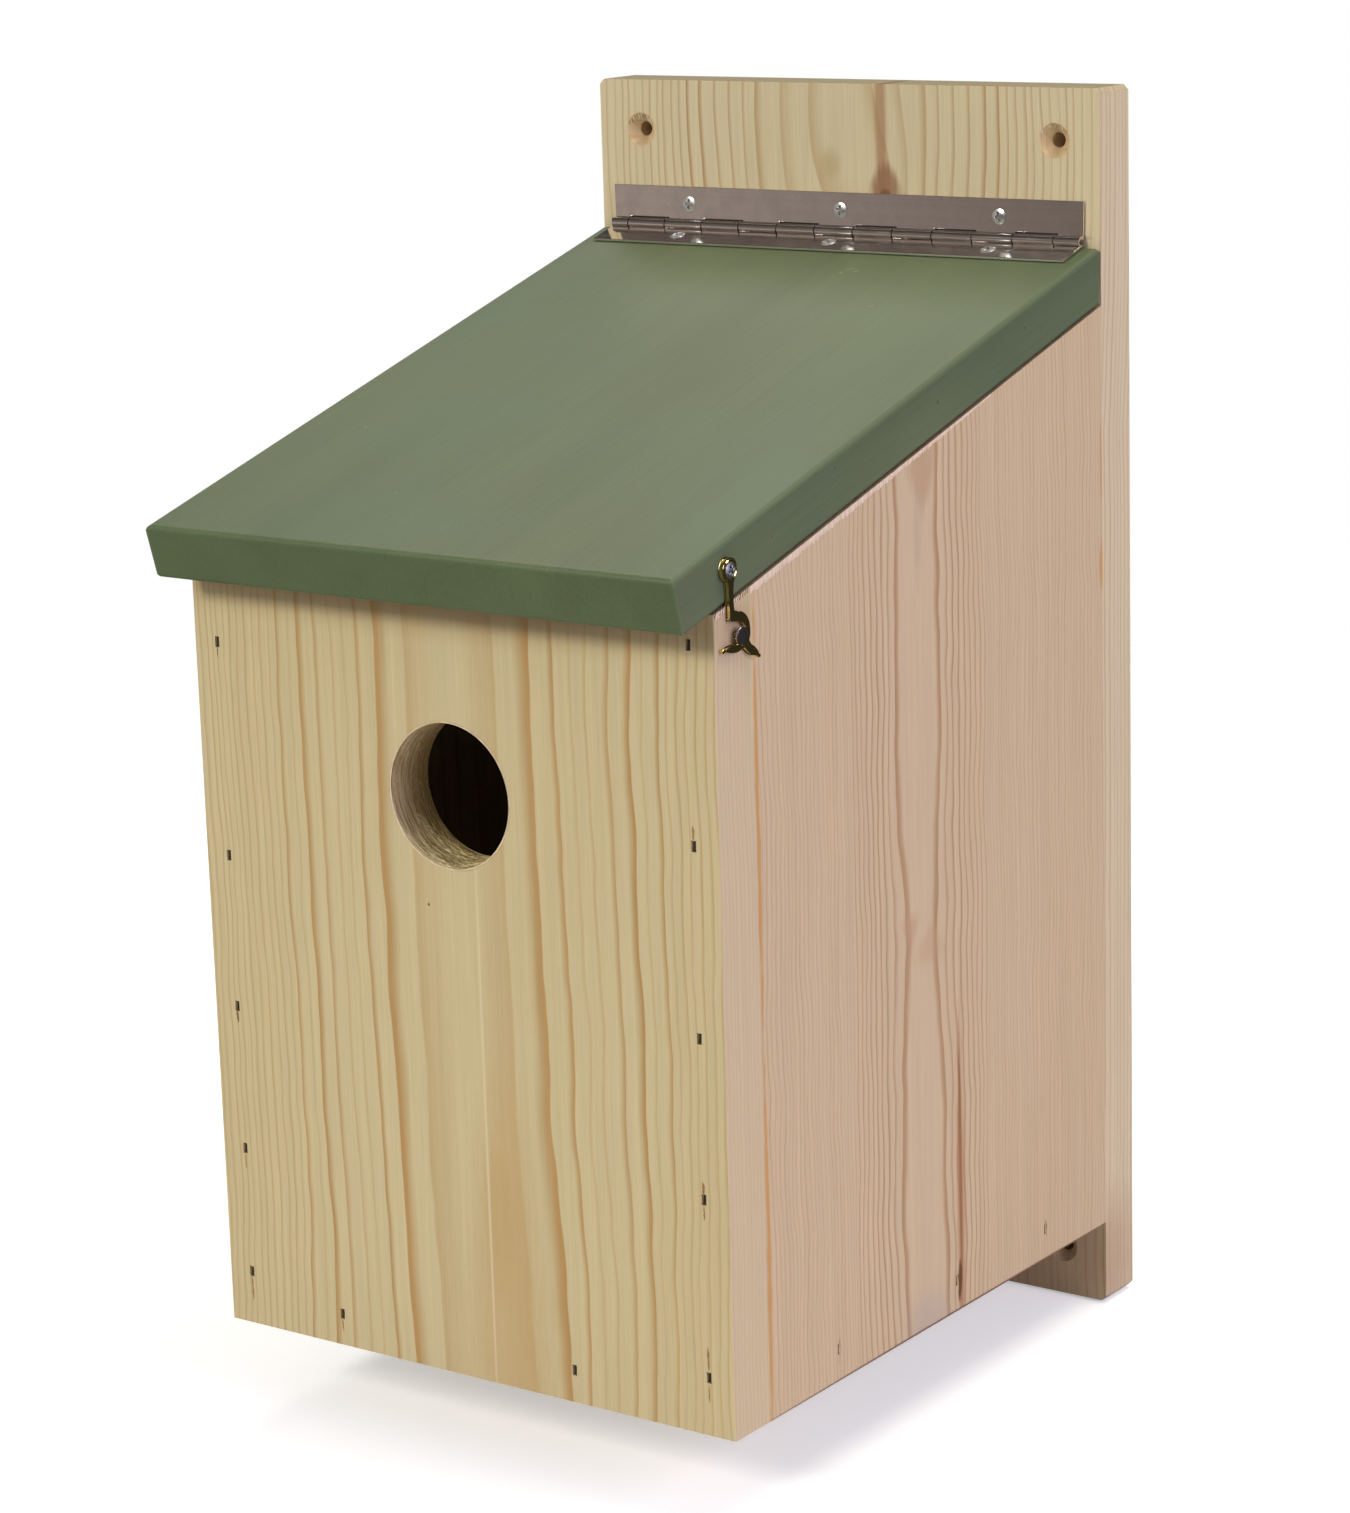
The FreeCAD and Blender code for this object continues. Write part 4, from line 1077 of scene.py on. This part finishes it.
HINGE_AXIS = Vector(frame["joints"][0]["pos_m"])
UP_SLOPE = Vector((0, math.cos(SLOPE), math.sin(SLOPE)))
OFF_SLOPE = Vector((0, -math.sin(SLOPE), math.cos(SLOPE)))
UPRIGHT, OUTWARD = Vector((0, 0, 1)), Vector((0, -1, 0))
SCREW_HEAD, SCREW_DOME, SCREW_RECESS, SCREW_ROW = 1.8 * MM, 0.30 * MM, 1.0 * MM, 5.0 * MM
LEAF_TOP, AXIS_UP = 0.8 * MM, 1.5 * MM


def screw_spots(columns, middle, facing, seed):
    """One screw for each column, seated on the leaf and turned at random."""
    chance = random.Random(seed)
    spots = []
    for x in columns:
        spin = Quaternion(facing, chance.uniform(0, math.pi))
        turn = (spin @ facing.to_track_quat("Z", "Y")).to_euler()
        spots.append((Vector((x, middle.y, middle.z)), tuple(turn), (1, 1, 1)))
    return spots


columns = [round(((low + high) / 2).x, 5) for low, high in islands("hinge_back_screws")]
back_seat = HINGE_AXIS - OUTWARD * (AXIS_UP - LEAF_TOP) + UPRIGHT * SCREW_ROW
roof_seat = HINGE_AXIS - OFF_SLOPE * (AXIS_UP - LEAF_TOP) - UP_SLOPE * SCREW_ROW
screw = screw_mesh(SCREW_HEAD, SCREW_DOME, SCREW_RECESS)
copy_piece("back_leaf_screws", screw.copy(), screw_spots(columns, back_seat, OUTWARD, 2), zinc, "box",
           0.0, 1, ("hinge_back_screws",), 30.0)
copy_piece("roof_leaf_screws", screw, screw_spots(columns, roof_seat, OFF_SLOPE, 7), zinc, "roof",
           0.0, 1, ("hinge_roof_screws",), 30.0)
print("screw columns:", columns)

# %% [markdown]
# ## The piano hinge
#
# Each leaf is a strip of nickelled sheet.  Its edge is cut into tongues, and every other tongue
# is rolled round the pin into a knuckle.  A leaf is built in its own frame: along the pin, away
# from the pin in the plane of the sheet, and up from the wood.  The rolled knuckle repeats, so it
# is a template set on points; the flat sheet with its notches is one outline given a thickness.

# %% Hinge leaves
LEAF_HALF, LEAF_WIDE, SHEET, LEAF_LIFT = 66.0 * MM, 9.2 * MM, 0.6 * MM, 0.2 * MM
KNUCKLE_FIRST, KNUCKLE_PITCH, KNUCKLE_GAP = 5.1 * MM, 10.9 * MM, 0.4 * MM
BARREL, BACK_NOTCH, ROOF_NOTCH = 1.3 * MM, 1.6 * MM, 1.16 * MM
CURL_STEPS, CURL_TURN = 26, 318


def knuckle_spans():
    """Start and end of all knuckles along the pin."""
    edges = [-LEAF_HALF, -LEAF_HALF + KNUCKLE_FIRST]
    while edges[-1] + KNUCKLE_PITCH < LEAF_HALF:
        edges.append(edges[-1] + KNUCKLE_PITCH)
    edges.append(LEAF_HALF)
    return list(zip(edges, edges[1:]))


def curl_mesh():
    """A knuckle one unit long: sheet rolled round the pin from its own plane, in leaf axes."""
    solid = bmesh.new()
    profile = []
    for radius, order in ((BARREL, range(CURL_STEPS + 1)), (BARREL - SHEET, range(CURL_STEPS, -1, -1))):
        for step in order:
            angle = math.radians(-90 - CURL_TURN * step / CURL_STEPS)
            profile.append((radius * math.cos(angle), AXIS_UP + radius * math.sin(angle)))
    ends = [ring_of(solid, [(x, p, q) for p, q in profile]) for x in (-0.5, 0.5)]
    skin(solid, ends)
    last = len(profile) - 1
    for end in ends:
        for index in range(CURL_STEPS):
            solid.faces.new((end[index], end[index + 1], end[last - 1 - index], end[last - index]))
    return to_mesh("curl", solid)


def sheet_mesh(own, others, name, notch):
    """The flat of a leaf: a strip with a notch for each of the other leaf's knuckles."""
    outline = [(-LEAF_HALF, LEAF_WIDE)]
    for start, end, mine in sorted([(a, b, True) for a, b in own] + [(a, b, False) for a, b in others]):
        near = -0.02 * MM if mine else notch
        trim = KNUCKLE_GAP / 2 if mine else -KNUCKLE_GAP / 2
        outline += [(max(start + trim, -LEAF_HALF), near), (min(end - trim, LEAF_HALF), near)]
    outline.append((LEAF_HALF, LEAF_WIDE))
    solid = bmesh.new()
    face = solid.faces.new(ring_of(solid, [(x, p, LEAF_LIFT) for x, p in outline]))
    for item in bmesh.ops.extrude_face_region(solid, geom=[face])["geom"]:
        if isinstance(item, bmesh.types.BMVert):
            item.co.z += SHEET
    bmesh.ops.remove_doubles(solid, verts=solid.verts, dist=1e-7)
    return bevelled(to_mesh(name, solid), 0.09 * MM, 2, 40.0)


def joined(name, meshes, finish):
    """Several meshes as one, in one finish."""
    solid = bmesh.new()
    for mesh in meshes:
        solid.from_mesh(mesh)
    for face in solid.faces:
        face.material_index = 0
    return to_mesh(name, solid, finish)


def leaf_piece(name, own, others, away, off, body, stands_for, notch):
    """Sheet and knuckles joined, then laid from leaf axes into the birdhouse."""
    side = away.cross(off)
    placing = Matrix((side, away, off)).transposed().to_4x4()
    placing.translation = HINGE_AXIS - off * AXIS_UP
    if side.x < 0:  # the leaf's own X runs the other way
        own, others = ([(-b, -a) for a, b in spans] for spans in (own, others))
    points = [(((a + b) / 2, 0, 0), (0, 0, 0), (b - a - KNUCKLE_GAP, 1, 1)) for a, b in own]
    curls = set_copies(name + "_curls", curl_mesh(), points, nickel)
    mesh = joined(name, [sheet_mesh(own, others, name, notch), curls], nickel)
    mesh.transform(placing)
    finish_piece(name, mesh, body, stands_for, 28.0)


knuckles = knuckle_spans()
back_own, roof_own = knuckles[0::2], knuckles[1::2]
leaf_piece("hinge_back_leaf_rolled", back_own, roof_own, UPRIGHT, OUTWARD, "box", ("hinge_back_leaf",), BACK_NOTCH)
leaf_piece("hinge_roof_leaf_rolled", roof_own, back_own, -UP_SLOPE, OFF_SLOPE, "roof", ("hinge_roof_leaf",), ROOF_NOTCH)
print("knuckles:", len(knuckles))

# %% [markdown]
# ## The hook
#
# The hook is stamped from brass sheet, tumbled until its edges are round, and its tail is bent
# out for a fingertip.  Its outline is drawn in millimetres about the pivot, as a rounded run of
# points; the run is drawn in by the rounding and a filled curve with thickness and a bevel gives
# it back.  A dished collar, turned on a lathe profile, stands round the eye.

# %% Hook outline
OUT = Vector((1, 0, 0))
PIVOT = Vector(frame["joints"][1]["pos_m"])
PLATE_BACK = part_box("latch_hook")[0][0]
PLATE_FRONT = PLATE_BACK + 1.1 * MM
ROUNDING = 0.32 * MM
HOOK_RUN = [  # across and up from the pivot, and whether the run turns sharply there
    (-0.92, -2.75, 1), (-0.74, -6.8, 0), (-0.55, -10.80, 1), (1.2, -11.0, 0), (3.0, -11.35, 0), (4.5, -12.05, 0),
    (5.05, -13.45, 0), (4.5, -14.9, 0), (3.0, -15.5, 0), (1.4, -15.25, 0), (-0.2, -15.25, 0), (-1.6, -15.55, 0),
    (-3.0, -16.2, 1), (-1.3, -17.0, 0), (0.9, -17.45, 0), (2.8, -17.40, 0), (4.3, -16.95, 0), (5.2, -17.75, 0),
    (6.4, -18.7, 0), (7.8, -19.25, 0), (9.15, -19.3, 1), (8.8, -18.0, 0), (7.9, -16.8, 0), (6.6, -15.7, 0),
    (7.05, -14.2, 0), (6.8, -11.7, 0), (5.7, -9.9, 0), (3.9, -8.75, 0), (2.2, -8.5, 0), (1.60, -8.15, 0),
    (1.45, -6.8, 0), (1.50, -3.6, 0), (1.85, -2.30, 0), (2.55, -1.45, 0), (2.95, 0.0, 0), (2.55, 1.48, 0),
    (1.48, 2.55, 0), (0.0, 2.95, 0), (-1.48, 2.55, 0), (-2.55, 1.48, 0), (-2.95, 0.0, 0), (-2.55, -1.48, 0)]
TAIL_START, TAIL_UNDER = 5.0 * MM, -15.6 * MM
TAIL_LEAN, TAIL_CURL = 0.12, 20.0


def lathe(name, profile, centre, axis, finish, spokes=48, wobble=0.0):
    """A closed round piece from (radius, height) pairs in millimetres, about an axis through a centre."""
    solid = bmesh.new()
    turn = axis.to_track_quat("Z", "Y").to_matrix()
    levels = []
    for radius, height in profile:
        row = []
        for spoke in range(spokes):
            angle = 2 * math.pi * spoke / spokes
            out = radius * MM * (1.0 + wobble * math.sin(3 * angle + 1.3))
            row.append(centre + turn @ Vector((out * math.cos(angle), out * math.sin(angle), height * MM)))
        levels.append(ring_of(solid, row))
    skin(solid, levels)
    if profile[0] == profile[-1]:
        bmesh.ops.remove_doubles(solid, verts=solid.verts, dist=1e-7)
    else:
        solid.faces.new(levels[0][::-1])
        solid.faces.new(levels[-1])
    return to_mesh(name, solid, finish)


def rounded_run(run, steps=5):
    """A Catmull-Rom run through the points, straight into and out of the sharp ones."""
    points = []
    count = len(run)
    for index in range(count):
        before, here, after, beyond = (Vector(run[(index + shift) % count][:2]) for shift in (-1, 0, 1, 2))
        leave = (after - here) if run[index][2] else (after - before) / 2
        arrive = (after - here) if run[(index + 1) % count][2] else (beyond - here) / 2
        for step in range(steps):
            t = step / steps
            points.append((2 * t ** 3 - 3 * t ** 2 + 1) * here + (t ** 3 - 2 * t ** 2 + t) * leave +
                          (3 * t ** 2 - 2 * t ** 3) * after + (t ** 3 - t ** 2) * arrive)
    return points


def drawn_in(points, amount):
    """The closed run moved towards its inside; the run goes round with its inside on the left."""
    moved = []
    for index, point in enumerate(points):
        way = (points[(index + 1) % len(points)] - points[index - 1]).normalized()
        moved.append(point + amount * Vector((-way.y, way.x)))
    return moved


def hook_plate():
    """The stamped plate with rounded edges and its tail bent out."""
    curve = bpy.data.curves.new("hook_outline", "CURVE")
    curve.dimensions, curve.fill_mode = "2D", "BOTH"
    curve.extrude = (PLATE_FRONT - PLATE_BACK) / 2 - ROUNDING
    curve.bevel_depth, curve.bevel_resolution = ROUNDING, 3
    outline = drawn_in(rounded_run(HOOK_RUN), ROUNDING / MM)
    spline = curve.splines.new("POLY")
    spline.points.add(len(outline) - 1)
    for target, point in zip(spline.points, outline):
        target.co = (point.x * MM, point.y * MM, 0.0, 1.0)
    spline.use_cyclic_u = True
    solid = bmesh.new()
    solid.from_mesh(settled_mesh(new_object("hook_outline", curve), "hook_plate"))
    bmesh.ops.remove_doubles(solid, verts=solid.verts, dist=2e-6)
    for vert in solid.verts:
        along, up, out = vert.co
        past = max(0.0, along - TAIL_START) if up < TAIL_UNDER else 0.0
        out += (PLATE_FRONT + PLATE_BACK) / 2 + TAIL_LEAN * past + TAIL_CURL * past ** 2
        vert.co = (out, along + PIVOT.y, up + PIVOT.z)
    return to_mesh("hook_plate", solid, brass)


COLLAR = [(1.30, 0.05), (1.30, 1.10), (1.66, 1.14), (1.84, 1.36), (2.00, 1.42), (2.16, 1.36), (2.28, 1.14),
          (2.40, 0.98), (2.40, 0.05), (1.30, 0.05)]
collar = lathe("collar", COLLAR, Vector((PLATE_BACK, PIVOT.y, PIVOT.z)), OUT, brass, 64)
finish_piece("hook_stamped", joined("hook_stamped", [hook_plate(), collar], brass), "hook", ("latch_hook",),
             40.0)

# %% Latch screw and peg
LATCH_HEAD, LATCH_DOME, LATCH_RECESS = 1.66 * MM, 0.32 * MM, 0.9 * MM
SHANK = [(1.0, 58.0), (1.0, 69.8), (0.9, 70.2), (0.9, 71.3)]
latch_seat = Vector((PLATE_FRONT + 0.16 * MM, PIVOT.y, PIVOT.z))
latch_turn = tuple((Quaternion(OUT, 0.5) @ OUT.to_track_quat("Z", "Y")).to_euler())
latch_head = set_copies("latch_head", screw_mesh(LATCH_HEAD, LATCH_DOME, LATCH_RECESS),
                        [(latch_seat, latch_turn, (1, 1, 1))], zinc)
latch_shank = lathe("latch_shank", SHANK, Vector((0, PIVOT.y, PIVOT.z)), OUT, zinc, 24)
finish_piece("latch_screw_turned", joined("latch_screw_turned", [latch_head, latch_shank], zinc), "roof",
             ("latch_screw",), 30.0)


def peg_profile(start, end):
    """A thin threaded shank and a flat disc with a rounded rim, as (radius, x) in millimetres."""
    neck = end - 0.72
    points = [(0.55, start)]
    x = start + 0.3
    while x < neck - 0.4:
        points += [(0.58, x), (0.80, x + 0.14), (0.80, x + 0.2), (0.58, x + 0.36)]
        x += 0.48
    return points + [(0.62, neck)] + [(radius, neck + past) for radius, past in (
        (1.7, 0.03), (1.92, 0.13), (2.0, 0.3), (1.98, 0.48), (1.84, 0.63), (1.5, 0.70), (0.5, 0.72))]


low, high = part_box("latch_peg")
peg_axis = Vector((0, (low[1] + high[1]) / 2, (low[2] + high[2]) / 2))
peg = lathe("peg_turned", peg_profile(low[0] / MM, high[0] / MM), peg_axis, OUT, peg_metal, 40)
finish_piece("peg_turned", peg, "box", ("latch_peg",), 35.0)

# %% [markdown]
# ## The entrance bore
#
# A spade bit leaves a rough bore.  Where it cuts along the fibres, at left and right, the wall is
# fairly clean and shows rings from the turning bit.  Where it cuts across them, at top and
# bottom, the fibres tear.  The lining is a closed ring just inside the bore whose inner skin is
# pushed in and out by noise, and loose fibres are curled slivers set on it.

# %% Bore lining
BORE, BORE_WALL, BORE_INSET = 16.0 * MM, 0.4 * MM, 0.12 * MM
BORE_UP = 6.5 * MM
BORE_SPOKES, BORE_ROWS = 220, 34
FACE_FRONT, FACE_BACK = -170.0 * MM, -157.0 * MM


def bore_depth(angle, y):
    """How far the torn skin stands in from the true bore, in metres."""
    across = abs(math.sin(angle)) ** 1.5
    spot = Vector((math.cos(angle), math.sin(angle), 0.0))
    rings = 0.5 + 0.5 * math.sin(y / MM * 5.2 + 1.5 * noise.noise(spot * 1.3))
    torn = noise.noise(Vector((spot.x * 16, spot.y * 16, y / MM * 2.3))) + 0.6 * noise.noise(
        Vector((spot.x * 42, spot.y * 42, y / MM * 4.5)))
    fray = max(0.0, torn) * (0.06 + 0.32 * across)
    return (0.03 + (0.06 + 0.10 * across) * rings + fray) * MM


def bore_mesh():
    """A closed ring: torn inner skin, plain outer skin buried in the wood."""
    solid = bmesh.new()
    levels = []
    for row in range(BORE_ROWS + 1):
        share = row / BORE_ROWS
        y = FACE_FRONT + BORE_INSET + (FACE_BACK - FACE_FRONT - 2 * BORE_INSET) * share
        ease = min(1.0, share * 9, (1 - share) * 9)
        ring = []
        for spoke in range(BORE_SPOKES):
            angle = 2 * math.pi * spoke / BORE_SPOKES
            radius = BORE - bore_depth(angle, y) * ease - 0.005 * MM
            ring.append((radius * math.cos(angle), y, BORE_UP + radius * math.sin(angle)))
        levels.append(ring_of(solid, ring))
    for y in (FACE_BACK - BORE_INSET, FACE_FRONT + BORE_INSET):
        levels.append(ring_of(solid, [(x, y, BORE_UP + z) for x, z in circle(BORE + BORE_WALL, BORE_SPOKES)]))
    skin(solid, levels + levels[:1])
    return to_mesh("bore", solid, torn_wood)


def bore_wood():
    """Torn end grain: pale at the face, with painted shade browner inside, and lighter along the bottom, partly paler
    torn fibres and partly painted light.
    """
    net = Finish("torn_wood")
    across, into, up = net.split(net.body)
    streak = net.noise(net.body, (120.0, 1500.0, 120.0), 3.0, 0.65)
    fine = net.noise(net.body, (900.0, 4200.0, 900.0), 2.0)
    color = net.blend(net.between(streak, 0.36, 0.64), (0.42, 0.285, 0.135), (0.80, 0.62, 0.35))
    # Painted shade: darker and browner deeper into the bore.
    inside = net.between(into, FACE_FRONT, FACE_FRONT + 11.0 * MM, 0.0, 0.78)
    color = net.blend(inside, color, (0.30, 0.185, 0.062))
    # Lighter along the bottom of the bore: paler torn fibres with painted light where the bore faces up.
    low = net.between(up * -1.0, -BORE_UP + 3 * MM, -BORE_UP + 15 * MM, 0.0, 0.75)
    color = net.blend(low, color, net.blend(net.between(streak, 0.40, 0.56), (0.27, 0.185, 0.050), (0.98, 0.82, 0.42)))
    color = net.vector("SCALE", color, net.between(fine, 0.3, 0.7, 0.82, 1.16))
    return net.coat(color, net.between(fine, 0.3, 0.7, 0.65, 0.85), streak + fine, 0.8, 0.3 * MM)


torn_wood = bore_wood()
finish_piece("bore_lining", bore_mesh(), "box", (), 50.0)
RIM = [(15.92, -0.10), (15.95, 0.02), (16.05, 0.05), (16.20, 0.02), (16.24, -0.10), (15.92, -0.10)]
rim_wood = grainy("rim_wood", (0.58, 0.45, 0.28), (0.76, 0.64, 0.44), 0.7, 420.0, 0.3)
rim = lathe("bore_rim", RIM, Vector((0.0, FACE_FRONT, BORE_UP)), OUTWARD, rim_wood, 160, 0.0012)
finish_piece("bore_rim", rim, "box", (), 60.0)

# %% Loose fibres
HAIR_STEPS, HAIR_BEND, HAIR_THICK = 5, 0.35, 0.05


def fibre_mesh():
    """A curled three-sided hair, one unit long in Z and one thick, rooted at the origin."""
    solid = bmesh.new()
    rings = []
    for step in range(HAIR_STEPS):
        t = step / HAIR_STEPS
        thick = HAIR_THICK * (1 - t)
        rings.append(ring_of(solid, [(HAIR_BEND * t * t + thick * math.cos(a), thick * math.sin(a), t)
                                     for a in (0.0, 2.1, 4.2)]))
    tip = solid.verts.new((HAIR_BEND, 0.0, 1.0))
    solid.faces.new(rings[0][::-1])
    skin(solid, rings)
    for side in range(3):
        solid.faces.new((rings[-1][side], rings[-1][(side + 1) % 3], tip))
    return to_mesh("fibre", solid)


def bore_fibres(count, seed):
    """Roots and directions of hairs in the bore: most at the bottom left, few at the rim."""
    chance = random.Random(seed)
    points = []
    for index in range(count):
        angle = math.radians(chance.gauss(238, 52))
        y = chance.uniform(FACE_FRONT + 0.3 * MM, FACE_BACK - 0.4 * MM)
        radius = BORE - 0.10 * MM
        place = Vector((radius * math.cos(angle), y, BORE_UP + radius * math.sin(angle)))
        inward = Vector((-math.cos(angle), 0, -math.sin(angle)))
        along = Vector((-math.sin(angle), 0, math.cos(angle))) * chance.choice((-1, 1))
        way = (inward * chance.uniform(0.05, 0.6) + along + Vector((0, chance.uniform(-0.5, 0.5), 0))).normalized()
        long = chance.uniform(0.5, 1.9) * MM
        points.append((place, turned_to(way), (long * 0.8, long * 0.8, long)))
    return points


pale_fibre = grainy("pale_fibre", (0.52, 0.43, 0.27), (0.74, 0.66, 0.46), 0.6, 500.0, 0.2)
copy_piece("bore_fibres", fibre_mesh(), bore_fibres(260, 21), pale_fibre, "box", 0.3, 6)

# %% [markdown]
# ## Saw marks and torn arrises
#
# The sloped tops of the side panel and of the front panel's end were sawn, not planed.  The saw
# left a row of small slanted teeth along the outer arris, which show as a pale ragged strip just
# under the roof.  One tooth is a low wedge, and the strip is many of them on a line.  Short dark
# slivers on the front panel's right edge, just under the roof, are painted shadows of the saw ridges.

# %% Saw teeth
SIDE_FACE = 70.0 * MM
PROUD = 0.07 * MM
SAW_RIDGE_SHADOWS = (-169.3, -168.4, -167.5, -166.6, -163.0, -162.1, -161.2, -160.3, -159.4, -158.5, -157.7)


def tooth_mesh():
    """A slanted wedge on the face X = 0: one wide in Y, one high below Z = 0 and one proud."""
    solid = bmesh.new()
    verts = ring_of(solid, [(-0.3, -0.5, 0.0), (-0.3, 0.5, 0.0), (1.0, -0.42, -0.05), (1.0, 0.34, -0.02),
                            (-0.3, -0.95, -1.0), (-0.3, -0.15, -1.0), (0.10, -0.80, -0.92), (0.10, -0.25, -0.88)])
    for quad in ((0, 1, 3, 2), (4, 6, 7, 5), (0, 2, 6, 4), (1, 5, 7, 3), (2, 3, 7, 6), (0, 4, 5, 1)):
        solid.faces.new([verts[index] for index in quad])
    return to_mesh("tooth", solid)


def slope_top(y):
    """Height of the box's sloped top edge at a depth."""
    low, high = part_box("right_side_panel")
    return high[2] + (y - high[1]) * math.tan(SLOPE)


def tooth_points(start, end, pitch, seed, tall, skip=0.0):
    """Teeth along the outer arris from one depth to another, thinning towards the end."""
    chance = random.Random(seed)
    points = []
    y = start
    while y < end:
        fade = 1.0 - 0.75 * ((y - start) / (end - start)) ** 2
        if chance.random() > skip:
            size = (PROUD * fade * chance.uniform(0.7, 1.2), pitch * chance.uniform(0.95, 1.35),
                    tall * fade * chance.uniform(0.8, 1.15))
            points.append(((SIDE_FACE, y, slope_top(y) - 0.10 * MM), (SLOPE, 0, 0), size))
        y += pitch * chance.uniform(0.85, 1.15)
    return points


torn_edge = grainy("torn_edge", (0.66, 0.52, 0.39), (0.80, 0.66, 0.53), 0.8, (1200.0, 1200.0, 300.0), 0.5)
teeth = tooth_points(-156.6 * MM, -62.0 * MM, 0.62 * MM, 31, 1.5 * MM)
teeth += tooth_points(-169.6 * MM, -157.4 * MM, 0.95 * MM, 32, 1.0 * MM, 0.12)
copy_piece("saw_teeth", tooth_mesh(), teeth, torn_edge, "box", 0.1, 7, (), 0)
# Painted shadows of the saw ridges: dark slivers on the front panel's right edge, just under the roof.
ridge_shadow_points = [(Vector((SIDE_FACE, y * MM, slope_top(y * MM) - 0.55 * MM)), (0, 0.45, QUARTER),
                (0.42 * MM, 0.17 * MM, 1.5 * MM)) for y in SAW_RIDGE_SHADOWS]
nick_wood = grainy("nick_wood", (0.09, 0.045, 0.028), (0.20, 0.11, 0.07), 0.8, 900.0)
copy_piece("saw_nicks", sliver_mesh(15, 6, 0.2), ridge_shadow_points, nick_wood, "box", 0.2, 9)

# %% [markdown]
# ## Small damage in the paint and at the wall holes
#
# Painted pine keeps a few pinholes and a short open check in the front edge.  Countersinking the
# wall holes tore the upper rims, so a few stiff fibres stand there.

# %% Paint pits and wall hole fibres
ROOF_FRONT = Vector((0.0, -180.6 * MM, 49.5 * MM))
PITS = ((-124.7, 75.2), (-131.9, 75.0), (-148.5, 64.6), (-84.0, 83.4), (-47.0, 95.0))
CHECKS = ((56.2, 2.2, 5.2), (60.0, 2.9, 4.4), (52.6, 1.8, 2.4), (-41.0, 5.5, 0.7), (-49.5, 8.0, 0.6))
SCRATCHES = ((14.2, 18.2, 1.2, 2.6), (16.4, 19.4, 0.5, 1.6), (13.0, 20.6, 1.9, 1.4),
             (32.3, 38.6, 1.3, 1.5), (-52.0, 120.0, 0.8, 1.0), (-20.0, 150.0, 1.4, 0.9))


def roof_turn(tilt, spin):
    """A turn about the slope's cross line after one about the upright."""
    return tuple((Quaternion((1, 0, 0), tilt) @ Quaternion((0, 1, 0), spin)).to_euler())


def roof_marks():
    """Pits on the right face and checks on the front face of the roof, sunk to a hair proud."""
    chance = random.Random(41)
    marks = []
    for y, z in PITS:
        size = chance.uniform(0.4, 0.7) * MM
        marks.append(((SIDE_FACE, y * MM, z * MM), (0, 0, QUARTER), (size, 0.05 * MM, size)))
    for x, up, long in CHECKS:
        place = ROOF_FRONT + OFF_SLOPE * up * MM + Vector((x * MM, 0, 0))
        turn = roof_turn(SLOPE, QUARTER + chance.uniform(-0.08, 0.08))
        marks.append((place, turn, (0.75 * MM, 0.06 * MM, long * MM)))
    return marks


paint_pit = grainy("paint_pit", (0.010, 0.013, 0.008), (0.035, 0.045, 0.025), 0.6, 900.0)
scratches = [(HINGE_AXIS + Vector((x * MM, 0, 0)) - UP_SLOPE * down * MM - OFF_SLOPE * AXIS_UP,
              roof_turn(SLOPE - QUARTER, spin), (0.28 * MM, 0.05 * MM, long * MM)) for x, down, spin, long in SCRATCHES]
bare_scratch = grainy("bare_scratch", (0.26, 0.30, 0.20), (0.44, 0.46, 0.36), 0.6, 900.0)
copy_piece("paint_scratches", sliver_mesh(13, 6, 0.5), scratches, bare_scratch, "roof")
copy_piece("paint_pits", sliver_mesh(12, 7, 0.5), roof_marks(), paint_pit, "roof")


def rim_fibres(seed):
    """Stiff torn fibres on the upper half of each countersink in the back board."""
    chance = random.Random(seed)
    points = []
    for x, z in ((-58.0, 133.0), (-58.0, -133.0), (58.0, 133.0), (58.0, -133.0)):
        for index in range(16):
            angle = math.radians(chance.uniform(35, 150))
            radius = chance.uniform(3.3, 4.0) * MM
            place = Vector((x * MM + radius * math.cos(angle), -13.05 * MM + (4.0 * MM - radius) * 0.9,
                            z * MM + radius * math.sin(angle)))
            way = Vector((chance.uniform(-0.3, 0.3), -0.25, -1.0 * chance.uniform(0.6, 1.0)))
            long = chance.uniform(0.6, 1.7) * MM
            points.append((place, turned_to(way), (long * 1.5, long * 1.5, long)))
    return points


copy_piece("rim_fibres", fibre_mesh(), rim_fibres(51), pale_fibre, "box", 0.25, 8)
